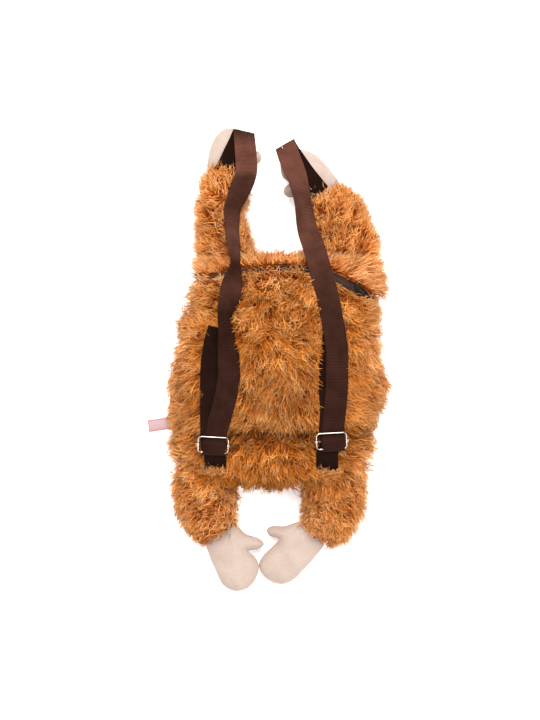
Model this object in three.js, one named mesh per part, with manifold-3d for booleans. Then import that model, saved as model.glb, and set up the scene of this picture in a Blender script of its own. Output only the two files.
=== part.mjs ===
// A child's plush backpack that lies on its front: a hollow fur bag with stuffed arms, legs and mitts,
// carried on webbing straps with wire slider buckles.
// Millimetres, +Z up. +Y points to the hands, +X to the right of the wearer's side, which faces up.
import * as THREE from "three";
import { mergeVertices } from "three/addons/utils/BufferGeometryUtils.js";
import Module from "manifold-3d";

const wasm = await Module();
wasm.setup();

const { clamp, lerp, degToRad, smoothstep } = THREE.MathUtils;
const UP = new THREE.Vector3(0, 0, 1);

// Driving dimensions of the bag
const BAG_TOP = 117;
const BAG_BOTTOM = -140;
const SEAM_HEIGHT = 42; // height of the seam between the front and the wearer's side
const BACK_HEIGHT = 92;
const CORNER_PULL = 0.12; // share by which the bag's corners pull in
const SIDE_ROUNDING = 3.2; // powers of the pillow's profile across and along the bag
const END_ROUNDING = 4;
const FRONT_PRESS = 1.25; // above 1 the front lies flat on the floor in the middle
const WALL = 5; // backing with its dense underfur
const GAP = 0.3; // clearance between sewn neighbours
const MERGE_WITHIN = 1e-3;
const BAG_COLUMNS = 30;
const BACK_ROWS = 28;
const FRONT_ROWS = 24;
const TOP_ROWS = 4;
const GRID_CROWDING = 0.2; // how much closer the grid lines lie towards the seams
const NORMAL_STEP = 0.01; // step for the wall's direction, and how near the seam it is taken
const NORMAL_EDGE = 0.98;

// The backing's left and right edges along the bag
const BAG_SIDES = [
  { y: -140, left: -105, right: 107 },
  { y: -90, left: -109, right: 115 },
  { y: -28, left: -108, right: 127 },
  { y: 20, left: -97, right: 117 },
  { y: 70, left: -88, right: 123 },
  { y: 117, left: -83, right: 125 },
];

// The crease across the wearer's side where it folds over the bottom band
const CREASE = { y: -84, depth: 9, width: 8, drop: 5, fade: 0.5, reach: 0.8 };

// Fur locks: how far they stand out, how that varies, and how far they lean along the pile
const LOCK_LENGTH = 14;
const LOCK_VARIES = { least: 0.7, more: 0.5 };
const LOCK_LEAN = 0.55;
const LOCK_EVERY = 3; // one grid point in three carries a lock
const LIMB_LOCKS = { from: 2, full: 12, wrist: 0.78 }; // past the bag's edge, and up to the wrist
const FLOOR_PRESS = { flat: 4.8, free: 12 }; // heights between which the pile is pressed by the floor
const PILE_FAN = { down: 0.5, up: 0.4 }; // how far the pile fans out to the sides

// The zip, as a line across the bag: its place in the middle, its fall to each side, and its widths
const ZIP = { middle: 0.907, fallLeft: 0.05, fallRight: 0.27, fallPower: 2.2 };
const ZIP_SLOT = { half: 0.024, widen: 0.045 };
const ZIP_TAPE = { top: 2.0, bottom: 3.4, edge: 0.62 };
const ZIP_COIL = { top: 0.2, bottom: 1.7, half: 0.011 };
const ZIP_SLIDER = { at: 0.9, step: 0.02, width: 8, length: 12, height: 3.6 };
const ZIP_TAB = { width: 7, length: 24, thick: 1.6, sunk: 1.1 };

// Stuffed limbs, from the bag to the wrist or ankle: centre, half width and half height of each section
const ARM_LEFT = [
  { x: -46, y: 96, z: 33, across: 24, high: 20 },
  { x: -50, y: 125, z: 26, across: 26, high: 28 },
  { x: -56, y: 160, z: 24, across: 21, high: 27 },
  { x: -54, y: 192, z: 23, across: 22, high: 25 },
  { x: -50, y: 214, z: 23, across: 18, high: 18 },
];
const ARM_RIGHT = [
  { x: 84, y: 94, z: 33, across: 26, high: 20 },
  { x: 84, y: 125, z: 26, across: 31, high: 28 },
  { x: 80, y: 152, z: 24, across: 29, high: 27 },
  { x: 73, y: 174, z: 23, across: 25, high: 25 },
  { x: 67, y: 190, z: 23, across: 18, high: 18 },
];
const LEG_LEFT = [
  { x: -70, y: -118, z: 32, across: 25, high: 20 },
  { x: -74, y: -144, z: 27, across: 30, high: 29 },
  { x: -73, y: -166, z: 25, across: 28, high: 28 },
  { x: -68, y: -185, z: 22, across: 23, high: 24 },
  { x: -62, y: -198, z: 20, across: 17, high: 17 },
];
const LEG_RIGHT = [
  { x: 69, y: -118, z: 32, across: 24, high: 20 },
  { x: 74, y: -144, z: 27, across: 30, high: 29 },
  { x: 73, y: -168, z: 25, across: 28, high: 28 },
  { x: 66, y: -188, z: 22, across: 23, high: 24 },
  { x: 57, y: -200, z: 20, across: 17, high: 17 },
];
const LIMB_SIDES = 18;
const LIMB_RINGS = 13;

// Mitts: outlines seen from above, and the height of the middle seam at wrist and tip
const HAND_LEFT = {
  centre: [-46, 232],
  wrist: { y: 200, z: 24 },
  tip: { y: 264, z: 19 },
  half: 11,
  outline: [
    [-66, 205], [-73, 226], [-70, 246], [-64, 260], [-55, 269], [-43, 271], [-31, 267], [-23, 256],
    [-21, 247], [-11, 241], [-11, 232], [-26, 222], [-34, 205],
  ],
};
const HAND_RIGHT = {
  centre: [36, 214],
  wrist: { y: 182, z: 24 },
  tip: { y: 246, z: 19 },
  half: 11,
  outline: [
    [81, 202], [75, 216], [63, 231], [51, 241], [38, 246], [24, 245], [14, 237], [12, 225],
    [15, 213], [23, 206], [17, 201], [16, 194.5], [21, 190], [30, 190], [35, 193], [45, 179],
  ],
};
const FOOT_LEFT = {
  centre: [-40, -220],
  wrist: { y: -196, z: 20 },
  tip: { y: -271, z: 10 },
  half: 11,
  outline: [
    [-75, -206], [-72, -226], [-64, -246], [-55, -264], [-42, -271], [-27, -268], [-17, -257],
    [-13, -242], [-17, -231], [-26, -223], [-14, -221], [-7, -215], [-12, -209], [-28, -203], [-46, -190],
  ],
};
const FOOT_RIGHT = {
  centre: [24, -206],
  wrist: { y: -190, z: 20 },
  tip: { y: -263, z: 10 },
  half: 11,
  outline: [
    [64, -213], [54, -229], [40, -245], [27, -258], [14, -263], [1, -260], [-10, -250], [-13, -239],
    [-8, -229], [3, -218], [10, -209], [-1, -205], [-4, -198], [2, -194], [16, -194], [38, -188],
    [54, -192],
  ],
};
const MITT_POINTS = 28;
const MITT_RINGS = [0.84, 0.5];
const MITT_CROWN = 2.4; // power of the mitt's swelling from its seam to its middle

// Webbing, and the wire buckle in its own plane: +Y is up the strap, +Z away from the back
const WEBBING_WIDTH = 25;
const WEBBING = 1.1;
const WIRE = { radius: 1, halfWidth: 16.8, halfHeight: 9, corner: 4, sides: 6, bends: 3 };
const BAR = { radius: 0.95, sleeve: 2.1, sleeveLength: 2.4, sides: 10 };
const BUCKLE_LEFT = { x: -64, y: -95.5, z: 93, turn: -3, pitch: 14 };
const BUCKLE_RIGHT = { x: 69, y: -91, z: 95.2, turn: 3, pitch: 11.6 };
// How far to the right of the buckle the strap lies at the top bar, at the bottom bar and where its tail
// comes out, and how far to the right the anchor is sewn
const PLAY_LEFT = { enter: 2.8, round: 0, leave: -2.8, lead: 3 };
const PLAY_RIGHT = { enter: 2.8, round: 2, leave: -0.6, lead: -5.4 };
const ANCHOR_LEAD = { from: 0, to: 18 };
// Where each anchor's lower ply is sewn to the bottom band, and how far above it the upper ply ends
const ANCHOR_FOOT = { left: { up: -33, out: -16.4 }, right: { up: -39, out: -20.2 } };
const ANCHOR_PLY = 1.5;

// The strap's way past the bars: under the top bar, over the middle, round the bottom bar and back up
const STRAP_AT_BUCKLE = [
  { up: 14, out: -2.7 }, { up: 9, out: -2.6 }, { up: 6.5, out: -1.1 }, { up: 5.3, out: 1.4 },
  { up: 3.4, out: 4.2 }, { up: 0.5, out: 5.2 }, { up: -4, out: 4.7 }, { up: -7.6, out: 3.2 },
  { up: -10.3, out: 2.1 }, { up: -11.4, out: 0 }, { up: -10.5, out: -2.0 }, { up: -8.6, out: -2.4 },
  { up: -6.5, out: -1.3 }, { up: -4.8, out: 0.9 }, { up: -2.8, out: 2.9 }, { up: 0, out: 3.7 },
  { up: 2.7, out: 2.7 }, { up: 3.9, out: 0.4 }, { up: 4.7, out: -2.0 }, { up: 7.6, out: -4.1 },
  { up: 14, out: -4.4 },
];
// The anchor's loop from its foot round the middle bar and back
const ANCHOR_LOOP = [
  { up: -22, out: -9.6 }, { up: -14, out: -6.1 }, { up: -9, out: -5.4 },
  { up: -4.6, out: -4.9 }, { up: -1.6, out: -3.5 }, { up: 0.8, out: -2.3 }, { up: 2.2, out: -0.6 },
  { up: 1.9, out: 1.3 }, { up: 0, out: 2.3 }, { up: -1.9, out: 1.3 }, { up: -2.4, out: -0.8 },
  { up: -3.6, out: -2.7 }, { up: -6, out: -3.6 }, { up: -9, out: -4.0 }, { up: -14, out: -4.6 },
  { up: -22, out: -8.1 },
];

// Straps from the wrist seam up the palm, over the fingertips and down the back to the buckle.
// turn is the heading of the webbing's width, tilt how far its right edge is raised, both in degrees.
const STRAP_LEFT = [
  { x: -52.5, y: 216.5, z: 43.4, turn: -25, tilt: 0 },
  { x: -48, y: 226, z: 34.7, turn: -25, tilt: 0 },
  { x: -42, y: 239, z: 33.3, turn: -23, tilt: 0 },
  { x: -35, y: 254, z: 30.4, turn: -18, tilt: 0 },
  { x: -31.5, y: 263, z: 28.6, turn: -14, tilt: 0 },
  { x: -30.2, y: 265.4, z: 30.4, turn: -12, tilt: 0 },
  { x: -30, y: 262, z: 33, turn: -10, tilt: 0 },
  { x: -28, y: 240, z: 43, turn: -4, tilt: 0 },
  { x: -27.5, y: 214, z: 53, turn: -2, tilt: 10 },
  { x: -37, y: 188, z: 60, turn: -16, tilt: -30 },
  { x: -43, y: 171, z: 63, turn: -8, tilt: -45 },
  { x: -43.2, y: 152, z: 67, turn: 2, tilt: -52 },
  { x: -41.3, y: 132, z: 75, turn: 4, tilt: -58 },
  { x: -39, y: 108, z: 86, turn: -2, tilt: -66 },
  { x: -41.2, y: 94, z: 91, turn: -8, tilt: -40 },
  { x: -44.4, y: 76, z: 95, turn: -10, tilt: -18 },
  { x: -47.5, y: 60, z: 98, turn: -10, tilt: -30 },
  { x: -50.2, y: 48, z: 99.5, turn: -4, tilt: -50 },
  { x: -48.6, y: 29, z: 100, turn: 4, tilt: -46 },
  { x: -47, y: 10, z: 99, turn: 2, tilt: -24 },
  { x: -45.8, y: -17, z: 98.4, turn: -2, tilt: -4 },
  { x: -48.5, y: -36, z: 98, turn: -10, tilt: 0 },
  { x: -54, y: -58, z: 97.4, turn: -12, tilt: 0 },
];
const TAIL_LEFT = [
  { x: -66.2, y: -62, z: 94.2, turn: -2, tilt: 0 },
  { x: -66, y: -38, z: 94, turn: -2, tilt: 0 },
  { x: -66, y: -14, z: 93.6, turn: -3, tilt: 0 },
  { x: -64, y: 8, z: 93, turn: -8, tilt: -4 },
  { x: -60, y: 27, z: 92.6, turn: -14, tilt: -8 },
  { x: -57, y: 36, z: 92.4, turn: -15, tilt: -8 },
];
const STRAP_RIGHT = [
  { x: 57.5, y: 193, z: 38, turn: 38, tilt: 0 },
  { x: 49, y: 204, z: 34.8, turn: 38, tilt: 0 },
  { x: 39.5, y: 216, z: 33.8, turn: 38, tilt: 0 },
  { x: 26.5, y: 235, z: 31, turn: 35, tilt: 0 },
  { x: 20, y: 245.5, z: 28.6, turn: 32, tilt: 0 },
  { x: 17.5, y: 250.5, z: 30.4, turn: 30, tilt: 0 },
  { x: 18.2, y: 247, z: 33.2, turn: 28, tilt: 0 },
  { x: 24.8, y: 227, z: 43, turn: 20, tilt: 0 },
  { x: 32, y: 207, z: 53, turn: 15, tilt: -26 },
  { x: 37.6, y: 181, z: 61, turn: 10, tilt: -38 },
  { x: 42.1, y: 152, z: 67, turn: 11, tilt: -24 },
  { x: 48.4, y: 132, z: 75, turn: 14, tilt: -4 },
  { x: 53.7, y: 114, z: 84, turn: 16, tilt: 0 },
  { x: 58.8, y: 94, z: 90.5, turn: 15, tilt: 0 },
  { x: 63.8, y: 76, z: 94, turn: 14, tilt: 0 },
  { x: 68.4, y: 52, z: 97.6, turn: 12, tilt: 0 },
  { x: 72.1, y: 33, z: 98.6, turn: 9, tilt: -6 },
  { x: 74.9, y: 13, z: 98.6, turn: 4, tilt: -4 },
  { x: 75.2, y: -14, z: 98, turn: 0, tilt: 0 },
  { x: 74.7, y: -38, z: 97.4, turn: -1, tilt: 0 },
  { x: 73, y: -56, z: 97, turn: -3, tilt: 0 },
];
const TAIL_RIGHT = [
  { x: 68.5, y: -60, z: 94, turn: 0, tilt: 0 },
  { x: 67.6, y: -38, z: 93.6, turn: 0, tilt: 0 },
  { x: 67.4, y: -14, z: 93.4, turn: 1, tilt: 0 },
  { x: 69, y: 10, z: 93.4, turn: 4, tilt: 0 },
  { x: 71, y: 30, z: 93, turn: 6, tilt: 0 },
];
const STRAP_CLEAR = { flat: 15.5, free: 23 }; // the pile is pressed this near a strap's line
const LIMB_CLEAR = { bare: 4, free: 13 }; // and short this near a limb
const LONG_STEP = 12; // a strap gets a station between rows that are further apart

const LABEL = { y: -71.3, width: 14, root: -108.8, tip: -141, slant: 5.4, thick: 0.8, droop: 6 };
const LABEL_STEPS = 4;

const FUR = new THREE.MeshStandardMaterial({ color: 0xb87338, roughness: 0.95 });
const MITT = new THREE.MeshStandardMaterial({ color: 0xead0c0, roughness: 0.9 });
const STRAP = new THREE.MeshStandardMaterial({ color: 0x3c261e, roughness: 0.8 });
const ZIPPER = new THREE.MeshStandardMaterial({ color: 0x3f2a20, roughness: 0.7 });
const NICKEL = new THREE.MeshStandardMaterial({ color: 0xd6cfc8, roughness: 0.25, metalness: 1 });
const SATIN = new THREE.MeshStandardMaterial({ color: 0xf4e2e0, roughness: 0.5 });

// Smooth reading of a table's column between its rows
function tableAt(rows, key, column, at) {
  let k = 0;
  while (k < rows.length - 2 && at > rows[k + 1][key]) k += 1;
  const from = rows[k];
  const to = rows[k + 1];
  return lerp(from[column], to[column], smoothstep(at, from[key], to[key]));
}

// A repeatable number from 0 to 1 for each lock
const SCATTER = { across: 12.9898, along: 78.233, scale: 43758.5453 };
function scatter(i, j) {
  const wave = Math.sin(i * SCATTER.across + j * SCATTER.along) * SCATTER.scale;
  return wave - Math.floor(wave);
}

function geometryOf(points, faces) {
  const geometry = new THREE.BufferGeometry();
  geometry.setFromPoints(points);
  geometry.setIndex(faces.flat());
  return geometry;
}

function toSolid(geometry) {
  const bare = new THREE.BufferGeometry();
  bare.setAttribute("position", geometry.getAttribute("position"));
  bare.setIndex(geometry.index);
  const merged = mergeVertices(bare, MERGE_WITHIN);
  return new wasm.Manifold(new wasm.Mesh({
    numProp: 3,
    vertProperties: merged.attributes.position.array,
    triVerts: new Uint32Array(merged.index.array),
  }));
}

function fromSolid(solid) {
  const mesh = solid.getMesh();
  const geometry = new THREE.BufferGeometry();
  geometry.setAttribute("position", new THREE.BufferAttribute(mesh.vertProperties, 3));
  geometry.setIndex(new THREE.BufferAttribute(mesh.triVerts, 1));
  return geometry;
}

function cut(geometry, tools) {
  let solid = toSolid(geometry);
  for (const tool of tools) solid = solid.subtract(toSolid(tool));
  return fromSolid(solid);
}

function join(geometries) {
  const solids = geometries.map(toSolid);
  return fromSolid(solids.reduce((whole, next) => whole.add(next)));
}

// Pillow form of the bag: u runs across from -1 to 1, v along, side is 1 at the back and -1 at the front
function bagPoint(u, v, side, inset = 0) {
  const top = BAG_TOP - inset;
  const bottom = BAG_BOTTOM + inset;
  const y = (top + bottom) / 2 + ((top - bottom) / 2) * v * Math.sqrt(1 - CORNER_PULL * u * u);
  const left = tableAt(BAG_SIDES, "y", "left", y) + inset;
  const right = tableAt(BAG_SIDES, "y", "right", y) - inset;
  const x = (left + right) / 2 + ((right - left) / 2) * u * Math.sqrt(1 - CORNER_PULL * v * v);
  const across = 1 - Math.abs(u) ** SIDE_ROUNDING;
  const along = 1 - Math.abs(v) ** END_ROUNDING;
  const dome = Math.sqrt(Math.max(0, across * along));
  if (side < 0) {
    return new THREE.Vector3(x, y, SEAM_HEIGHT - (SEAM_HEIGHT - inset) * Math.min(1, FRONT_PRESS * dome));
  }
  const rise = (BACK_HEIGHT - inset - SEAM_HEIGHT) * dome;
  return new THREE.Vector3(x, y, SEAM_HEIGHT + GAP + rise - creaseAt(u, y) * dome);
}

// Depth of the crease over the bottom band, and the step down below it
function creaseAt(u, y) {
  const within = 1 - smoothstep(Math.abs(u), CREASE.fade, CREASE.reach);
  const groove = CREASE.depth * Math.exp(-(((y - CREASE.y) / CREASE.width) ** 2)) * within;
  return groove + CREASE.drop * (1 - smoothstep(y, CREASE.y - CREASE.width, CREASE.y + CREASE.width));
}

function bagNormal(u, v, side) {
  const step = NORMAL_STEP;
  const inU = clamp(u, -NORMAL_EDGE, NORMAL_EDGE);
  const inV = clamp(v, -NORMAL_EDGE, NORMAL_EDGE);
  const alongU = bagPoint(inU + step, inV, side).sub(bagPoint(inU - step, inV, side));
  const alongV = bagPoint(inU, inV + step, side).sub(bagPoint(inU, inV - step, side));
  return alongU.cross(alongV).multiplyScalar(side).normalize();
}

// Grid lines lie closer together towards the seams
function spread(t) {
  const s = 2 * t - 1;
  return s * (1 + GRID_CROWDING * (1 - s * s));
}

function zipLine(u) {
  const fall = u < 0 ? ZIP.fallLeft : ZIP.fallRight;
  return ZIP.middle - fall * Math.abs(u) ** ZIP.fallPower;
}

function zipSlot(u) {
  return ZIP_SLOT.half + ZIP_SLOT.widen * Math.max(0, u);
}

// Distance from a point to a route; a flat one is measured from above
function distanceToRoute(rows, point, flat) {
  const knot = (row) => new THREE.Vector3(row.x, row.y, flat ? 0 : row.z);
  const from = new THREE.Vector3(point.x, point.y, flat ? 0 : point.z);
  const foot = new THREE.Vector3();
  let nearest = Infinity;
  for (let k = 0; k + 1 < rows.length; k += 1) {
    new THREE.Line3(knot(rows[k]), knot(rows[k + 1])).closestPointToPoint(from, true, foot);
    nearest = Math.min(nearest, foot.distanceTo(from));
  }
  return nearest;
}

// Share of the full lock length at a point: the floor and what is laid on it press the pile
const STRAP_LINES = [
  [...STRAP_LEFT, BUCKLE_LEFT], [...STRAP_RIGHT, BUCKLE_RIGHT],
  [BUCKLE_LEFT, ...TAIL_LEFT], [BUCKLE_RIGHT, ...TAIL_RIGHT],
  ...[[BUCKLE_LEFT, PLAY_LEFT, ANCHOR_FOOT.left], [BUCKLE_RIGHT, PLAY_RIGHT, ANCHOR_FOOT.right]].map(
    ([{ x, y }, { lead }, { up }]) => [{ x, y }, { x: x + lead, y: y + up }],
  ),
];
function pileAt(point, limbs) {
  let share = smoothstep(point.z, FLOOR_PRESS.flat, FLOOR_PRESS.free);
  if (point.z > SEAM_HEIGHT) {
    for (const line of STRAP_LINES) {
      const near = distanceToRoute(line, point, true);
      share = Math.min(share, smoothstep(near, STRAP_CLEAR.flat, STRAP_CLEAR.free));
    }
  }
  for (const limb of limbs) {
    const near = distanceToRoute(limb, point, false);
    const reach = limb[1].across;
    share = Math.min(share, smoothstep(near, reach + LIMB_CLEAR.bare, reach + LIMB_CLEAR.free));
  }
  return share;
}

// A lock's tip, raised from the wall and leaning along the pile
function lockTip(point, normal, pile, share, random) {
  const length = LOCK_LENGTH * share * (LOCK_VARIES.least + LOCK_VARIES.more * random);
  const tip = point.clone().addScaledVector(normal, length);
  tip.addScaledVector(pile, length * LOCK_LEAN);
  tip.z = Math.max(tip.z, 0);
  return tip;
}

// A fur wall: a fine outer grid with locks, a coarse smooth inner grid, and a rim between them
function furPanel({ rows, side, lowV, highV, pile }, limbs, grown = 0) {
  const columns = BAG_COLUMNS;
  const points = [];
  const faces = [];
  const addFace = (a, b, c) => faces.push(side > 0 ? [a, b, c] : [a, c, b]);
  const uvAt = (i, j) => {
    const u = spread(i / columns);
    return [u, lerp(lowV(u), highV(u), (1 + spread(j / rows)) / 2)];
  };
  const grid = (step, pointAt) => {
    const index = [];
    for (let j = 0; j <= rows; j += step) {
      const line = [];
      for (let i = 0; i <= columns; i += step) line.push(points.push(pointAt(i, j)) - 1);
      index.push(line);
    }
    return index;
  };
  const outer = grid(1, (i, j) => {
    const [u, v] = uvAt(i, j);
    const point = bagPoint(u, v, side);
    const normal = bagNormal(u, v, side);
    const atRim = i === 0 || j === 0 || i === columns || j === rows;
    if (atRim || (i + j) % LOCK_EVERY !== 0) return bagPoint(u, v, side, -grown);
    const tip = lockTip(point, normal, pile(u, v), pileAt(point, limbs), scatter(i, j));
    return tip.addScaledVector(normal, grown);
  });
  const inner = grid(2, (i, j) => bagPoint(...uvAt(i, j), side, WALL));
  const skin = (index, flip) => {
    for (let j = 0; j + 1 < index.length; j += 1) {
      for (let i = 0; i + 1 < index[j].length; i += 1) {
        const [a, b] = [index[j][i], index[j][i + 1]];
        const [d, c] = [index[j + 1][i], index[j + 1][i + 1]];
        if (flip) addFace(a, c, b);
        else addFace(a, b, c);
        if (flip) addFace(a, d, c);
        else addFace(a, c, d);
      }
    }
  };
  skin(outer, false);
  skin(inner, true);
  const fine = rimOf(outer);
  const coarse = rimOf(inner);
  for (let k = 0; k < coarse.length; k += 1) {
    const [start, middle, end] = [0, 1, 2].map((n) => fine[(2 * k + n) % fine.length]);
    const [from, to] = [coarse[k], coarse[(k + 1) % coarse.length]];
    addFace(middle, start, from);
    addFace(middle, from, to);
    addFace(end, middle, to);
  }
  return geometryOf(points, faces);
}

// The border of a grid, counter-clockwise
function rimOf(index) {
  const last = index.length - 1;
  const end = index[0].length - 1;
  const right = index.slice(1, last).map((line) => line[end]);
  const left = index.slice(1, last).map((line) => line[0]).reverse();
  return [...index[0], ...right, ...index[last].slice().reverse(), ...left];
}

// The bag's outer form without locks, grown by a clearance, to trim what is sewn to it
function bagForm(clearance) {
  const points = [];
  const faces = [];
  for (const side of [1, -1]) {
    const base = points.length;
    const line = BAG_COLUMNS + 1;
    for (let j = 0; j <= BACK_ROWS; j += 1) {
      for (let i = 0; i <= BAG_COLUMNS; i += 1) {
        const point = bagPoint(spread(i / BAG_COLUMNS), spread(j / BACK_ROWS), side, -clearance);
        const atRim = i === 0 || j === 0 || i === BAG_COLUMNS || j === BACK_ROWS;
        if (atRim) point.z = SEAM_HEIGHT;
        points.push(point);
      }
    }
    for (let j = 0; j < BACK_ROWS; j += 1) {
      for (let i = 0; i < BAG_COLUMNS; i += 1) {
        const a = base + j * line + i;
        const [b, c, d] = [a + 1, a + line + 1, a + line];
        faces.push(side > 0 ? [a, b, c] : [a, c, b], side > 0 ? [a, c, d] : [a, d, c]);
      }
    }
  }
  return geometryOf(points, faces);
}

// A stuffed limb as rings along its sections; locks grow where wanted, and the floor side is pressed flat
function limb(sections, lockShare, grown = 0) {
  const path = new THREE.CatmullRomCurve3(sections.map((row) => new THREE.Vector3(row.x, row.y, row.z)));
  const points = [];
  const faces = [];
  const sizeAt = (column, t) => {
    const place = t * (sections.length - 1);
    const k = Math.min(Math.floor(place), sections.length - 2);
    return lerp(sections[k][column], sections[k + 1][column], place - k);
  };
  for (let k = 0; k <= LIMB_RINGS; k += 1) {
    const t = k / LIMB_RINGS;
    const along = path.getTangent(t);
    const side = along.clone().cross(UP).normalize();
    const over = side.clone().cross(along);
    for (let n = 0; n < LIMB_SIDES; n += 1) {
      const angle = (2 * Math.PI * n) / LIMB_SIDES;
      const outward = side.clone().multiplyScalar(Math.cos(angle)).addScaledVector(over, Math.sin(angle));
      const point = path.getPoint(t);
      point.addScaledVector(side, Math.cos(angle) * sizeAt("across", t));
      point.addScaledVector(over, Math.sin(angle) * sizeAt("high", t));
      point.z = Math.max(point.z, 0);
      const hasLock = k > 0 && k < LIMB_RINGS && (k + n) % LOCK_EVERY === 0;
      const share = hasLock ? lockShare(point, t) : 0;
      const tip = lockTip(point, outward, along, share, scatter(k, n));
      if (k === LIMB_RINGS) tip.addScaledVector(along, grown);
      points.push(tip.addScaledVector(outward, grown));
    }
  }
  const start = points.push(path.getPoint(0)) - 1;
  const end = points.push(path.getPoint(1).addScaledVector(path.getTangent(1), grown)) - 1;
  for (let n = 0; n < LIMB_SIDES; n += 1) {
    const next = (n + 1) % LIMB_SIDES;
    for (let k = 0; k < LIMB_RINGS; k += 1) {
      const [a, b] = [k * LIMB_SIDES + n, k * LIMB_SIDES + next];
      const [c, d] = [b + LIMB_SIDES, a + LIMB_SIDES];
      faces.push([a, b, c], [a, c, d]);
    }
    const last = LIMB_RINGS * LIMB_SIDES;
    faces.push([start, next, n], [end, last + n, last + next]);
  }
  return facingOut(geometryOf(points, faces));
}

// Turns a closed form's faces outwards
function facingOut(geometry) {
  const position = geometry.getAttribute("position");
  const index = geometry.index.array;
  const [a, b, c] = [new THREE.Vector3(), new THREE.Vector3(), new THREE.Vector3()];
  let volume = 0;
  for (let k = 0; k < index.length; k += 3) {
    a.fromBufferAttribute(position, index[k]);
    b.fromBufferAttribute(position, index[k + 1]);
    c.fromBufferAttribute(position, index[k + 2]);
    volume += a.dot(b.cross(c));
  }
  if (volume < 0) {
    for (let k = 0; k < index.length; k += 3) [index[k + 1], index[k + 2]] = [index[k + 2], index[k + 1]];
  }
  return geometry;
}

// A stuffed mitt: a closed outline with a crowned top and underside that meet in its seam
function mitt(form) {
  const curve = new THREE.CatmullRomCurve3(form.outline.map(([x, y]) => new THREE.Vector3(x, y, 0)), true);
  const rim = curve.getSpacedPoints(MITT_POINTS).slice(0, MITT_POINTS);
  const centre = new THREE.Vector3(...form.centre, 0);
  const points = [];
  const faces = [];
  const place = (spot, ring, face) => {
    const point = centre.clone().lerp(spot, ring);
    const middle = lerp(form.wrist.z, form.tip.z, (point.y - form.wrist.y) / (form.tip.y - form.wrist.y));
    point.z = Math.max(0, middle + face * form.half * Math.sqrt(1 - ring ** MITT_CROWN));
    return points.push(point) - 1;
  };
  const seam = rim.map((spot) => place(spot, 1, 0));
  for (const face of [1, -1]) {
    let outer = seam;
    const close = (i, j, k) => faces.push(face > 0 ? [i, j, k] : [i, k, j]);
    for (const ring of MITT_RINGS) {
      const inner = rim.map((spot) => place(spot, ring, face));
      outer.forEach((from, n) => {
        const next = (n + 1) % MITT_POINTS;
        close(from, outer[next], inner[next]);
        close(from, inner[next], inner[n]);
      });
      outer = inner;
    }
    const crown = place(centre, 0, face);
    outer.forEach((from, n) => close(from, outer[(n + 1) % MITT_POINTS], crown));
  }
  return facingOut(geometryOf(points, faces));
}

// Flat webbing through knots, each with its place and the direction of the width there
function webbing(knots, width, thick) {
  const curve = new THREE.CatmullRomCurve3(knots.map((knot) => knot.at));
  const stations = [];
  knots.forEach((knot, k) => {
    stations.push(knot);
    const next = knots[k + 1];
    if (next && knot.at.distanceTo(next.at) > LONG_STEP) {
      const at = curve.getPoint((k + 0.5) / (knots.length - 1));
      stations.push({ at, across: knot.across.clone().add(next.across).normalize() });
    }
  });
  const points = [];
  const faces = [];
  stations.forEach((station, k) => {
    const before = stations[Math.max(0, k - 1)].at;
    const after = stations[Math.min(stations.length - 1, k + 1)].at;
    const along = after.clone().sub(before);
    const face = along.cross(station.across).normalize().multiplyScalar(thick / 2);
    const half = station.across.clone().multiplyScalar(width / 2);
    for (const [right, out] of [[1, 1], [-1, 1], [-1, -1], [1, -1]]) {
      points.push(station.at.clone().addScaledVector(half, right).addScaledVector(face, out));
    }
  });
  for (let k = 0; k + 1 < stations.length; k += 1) {
    for (let n = 0; n < 4; n += 1) {
      const [a, b] = [4 * k + n, 4 * k + ((n + 1) % 4)];
      faces.push([a, b, b + 4], [a, b + 4, a + 4]);
    }
  }
  const last = points.length - 4;
  faces.push([0, 2, 1], [0, 3, 2], [last, last + 1, last + 2], [last, last + 2, last + 3]);
  return facingOut(geometryOf(points, faces));
}

function routeKnots(rows) {
  return rows.map((row) => {
    const [turn, tilt] = [degToRad(row.turn), degToRad(row.tilt)];
    const level = Math.cos(tilt);
    const across = new THREE.Vector3(Math.cos(turn) * level, Math.sin(turn) * level, Math.sin(tilt));
    return { at: new THREE.Vector3(row.x, row.y, row.z), across };
  });
}

// Knots past a buckle, each drawn to one side by its row and its place in the run
function buckleKnots(rows, matrix, sideways) {
  const across = new THREE.Vector3(1, 0, 0).transformDirection(matrix);
  return rows.map((row, k) => {
    const at = new THREE.Vector3(sideways(row, k / (rows.length - 1)), row.up, row.out);
    return { at: at.applyMatrix4(matrix), across };
  });
}

function buckleMatrix(buckle) {
  const turned = new THREE.Euler(degToRad(buckle.pitch), 0, degToRad(buckle.turn), "ZXY");
  return new THREE.Matrix4().makeRotationFromEuler(turned).setPosition(buckle.x, buckle.y, buckle.z);
}

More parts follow.
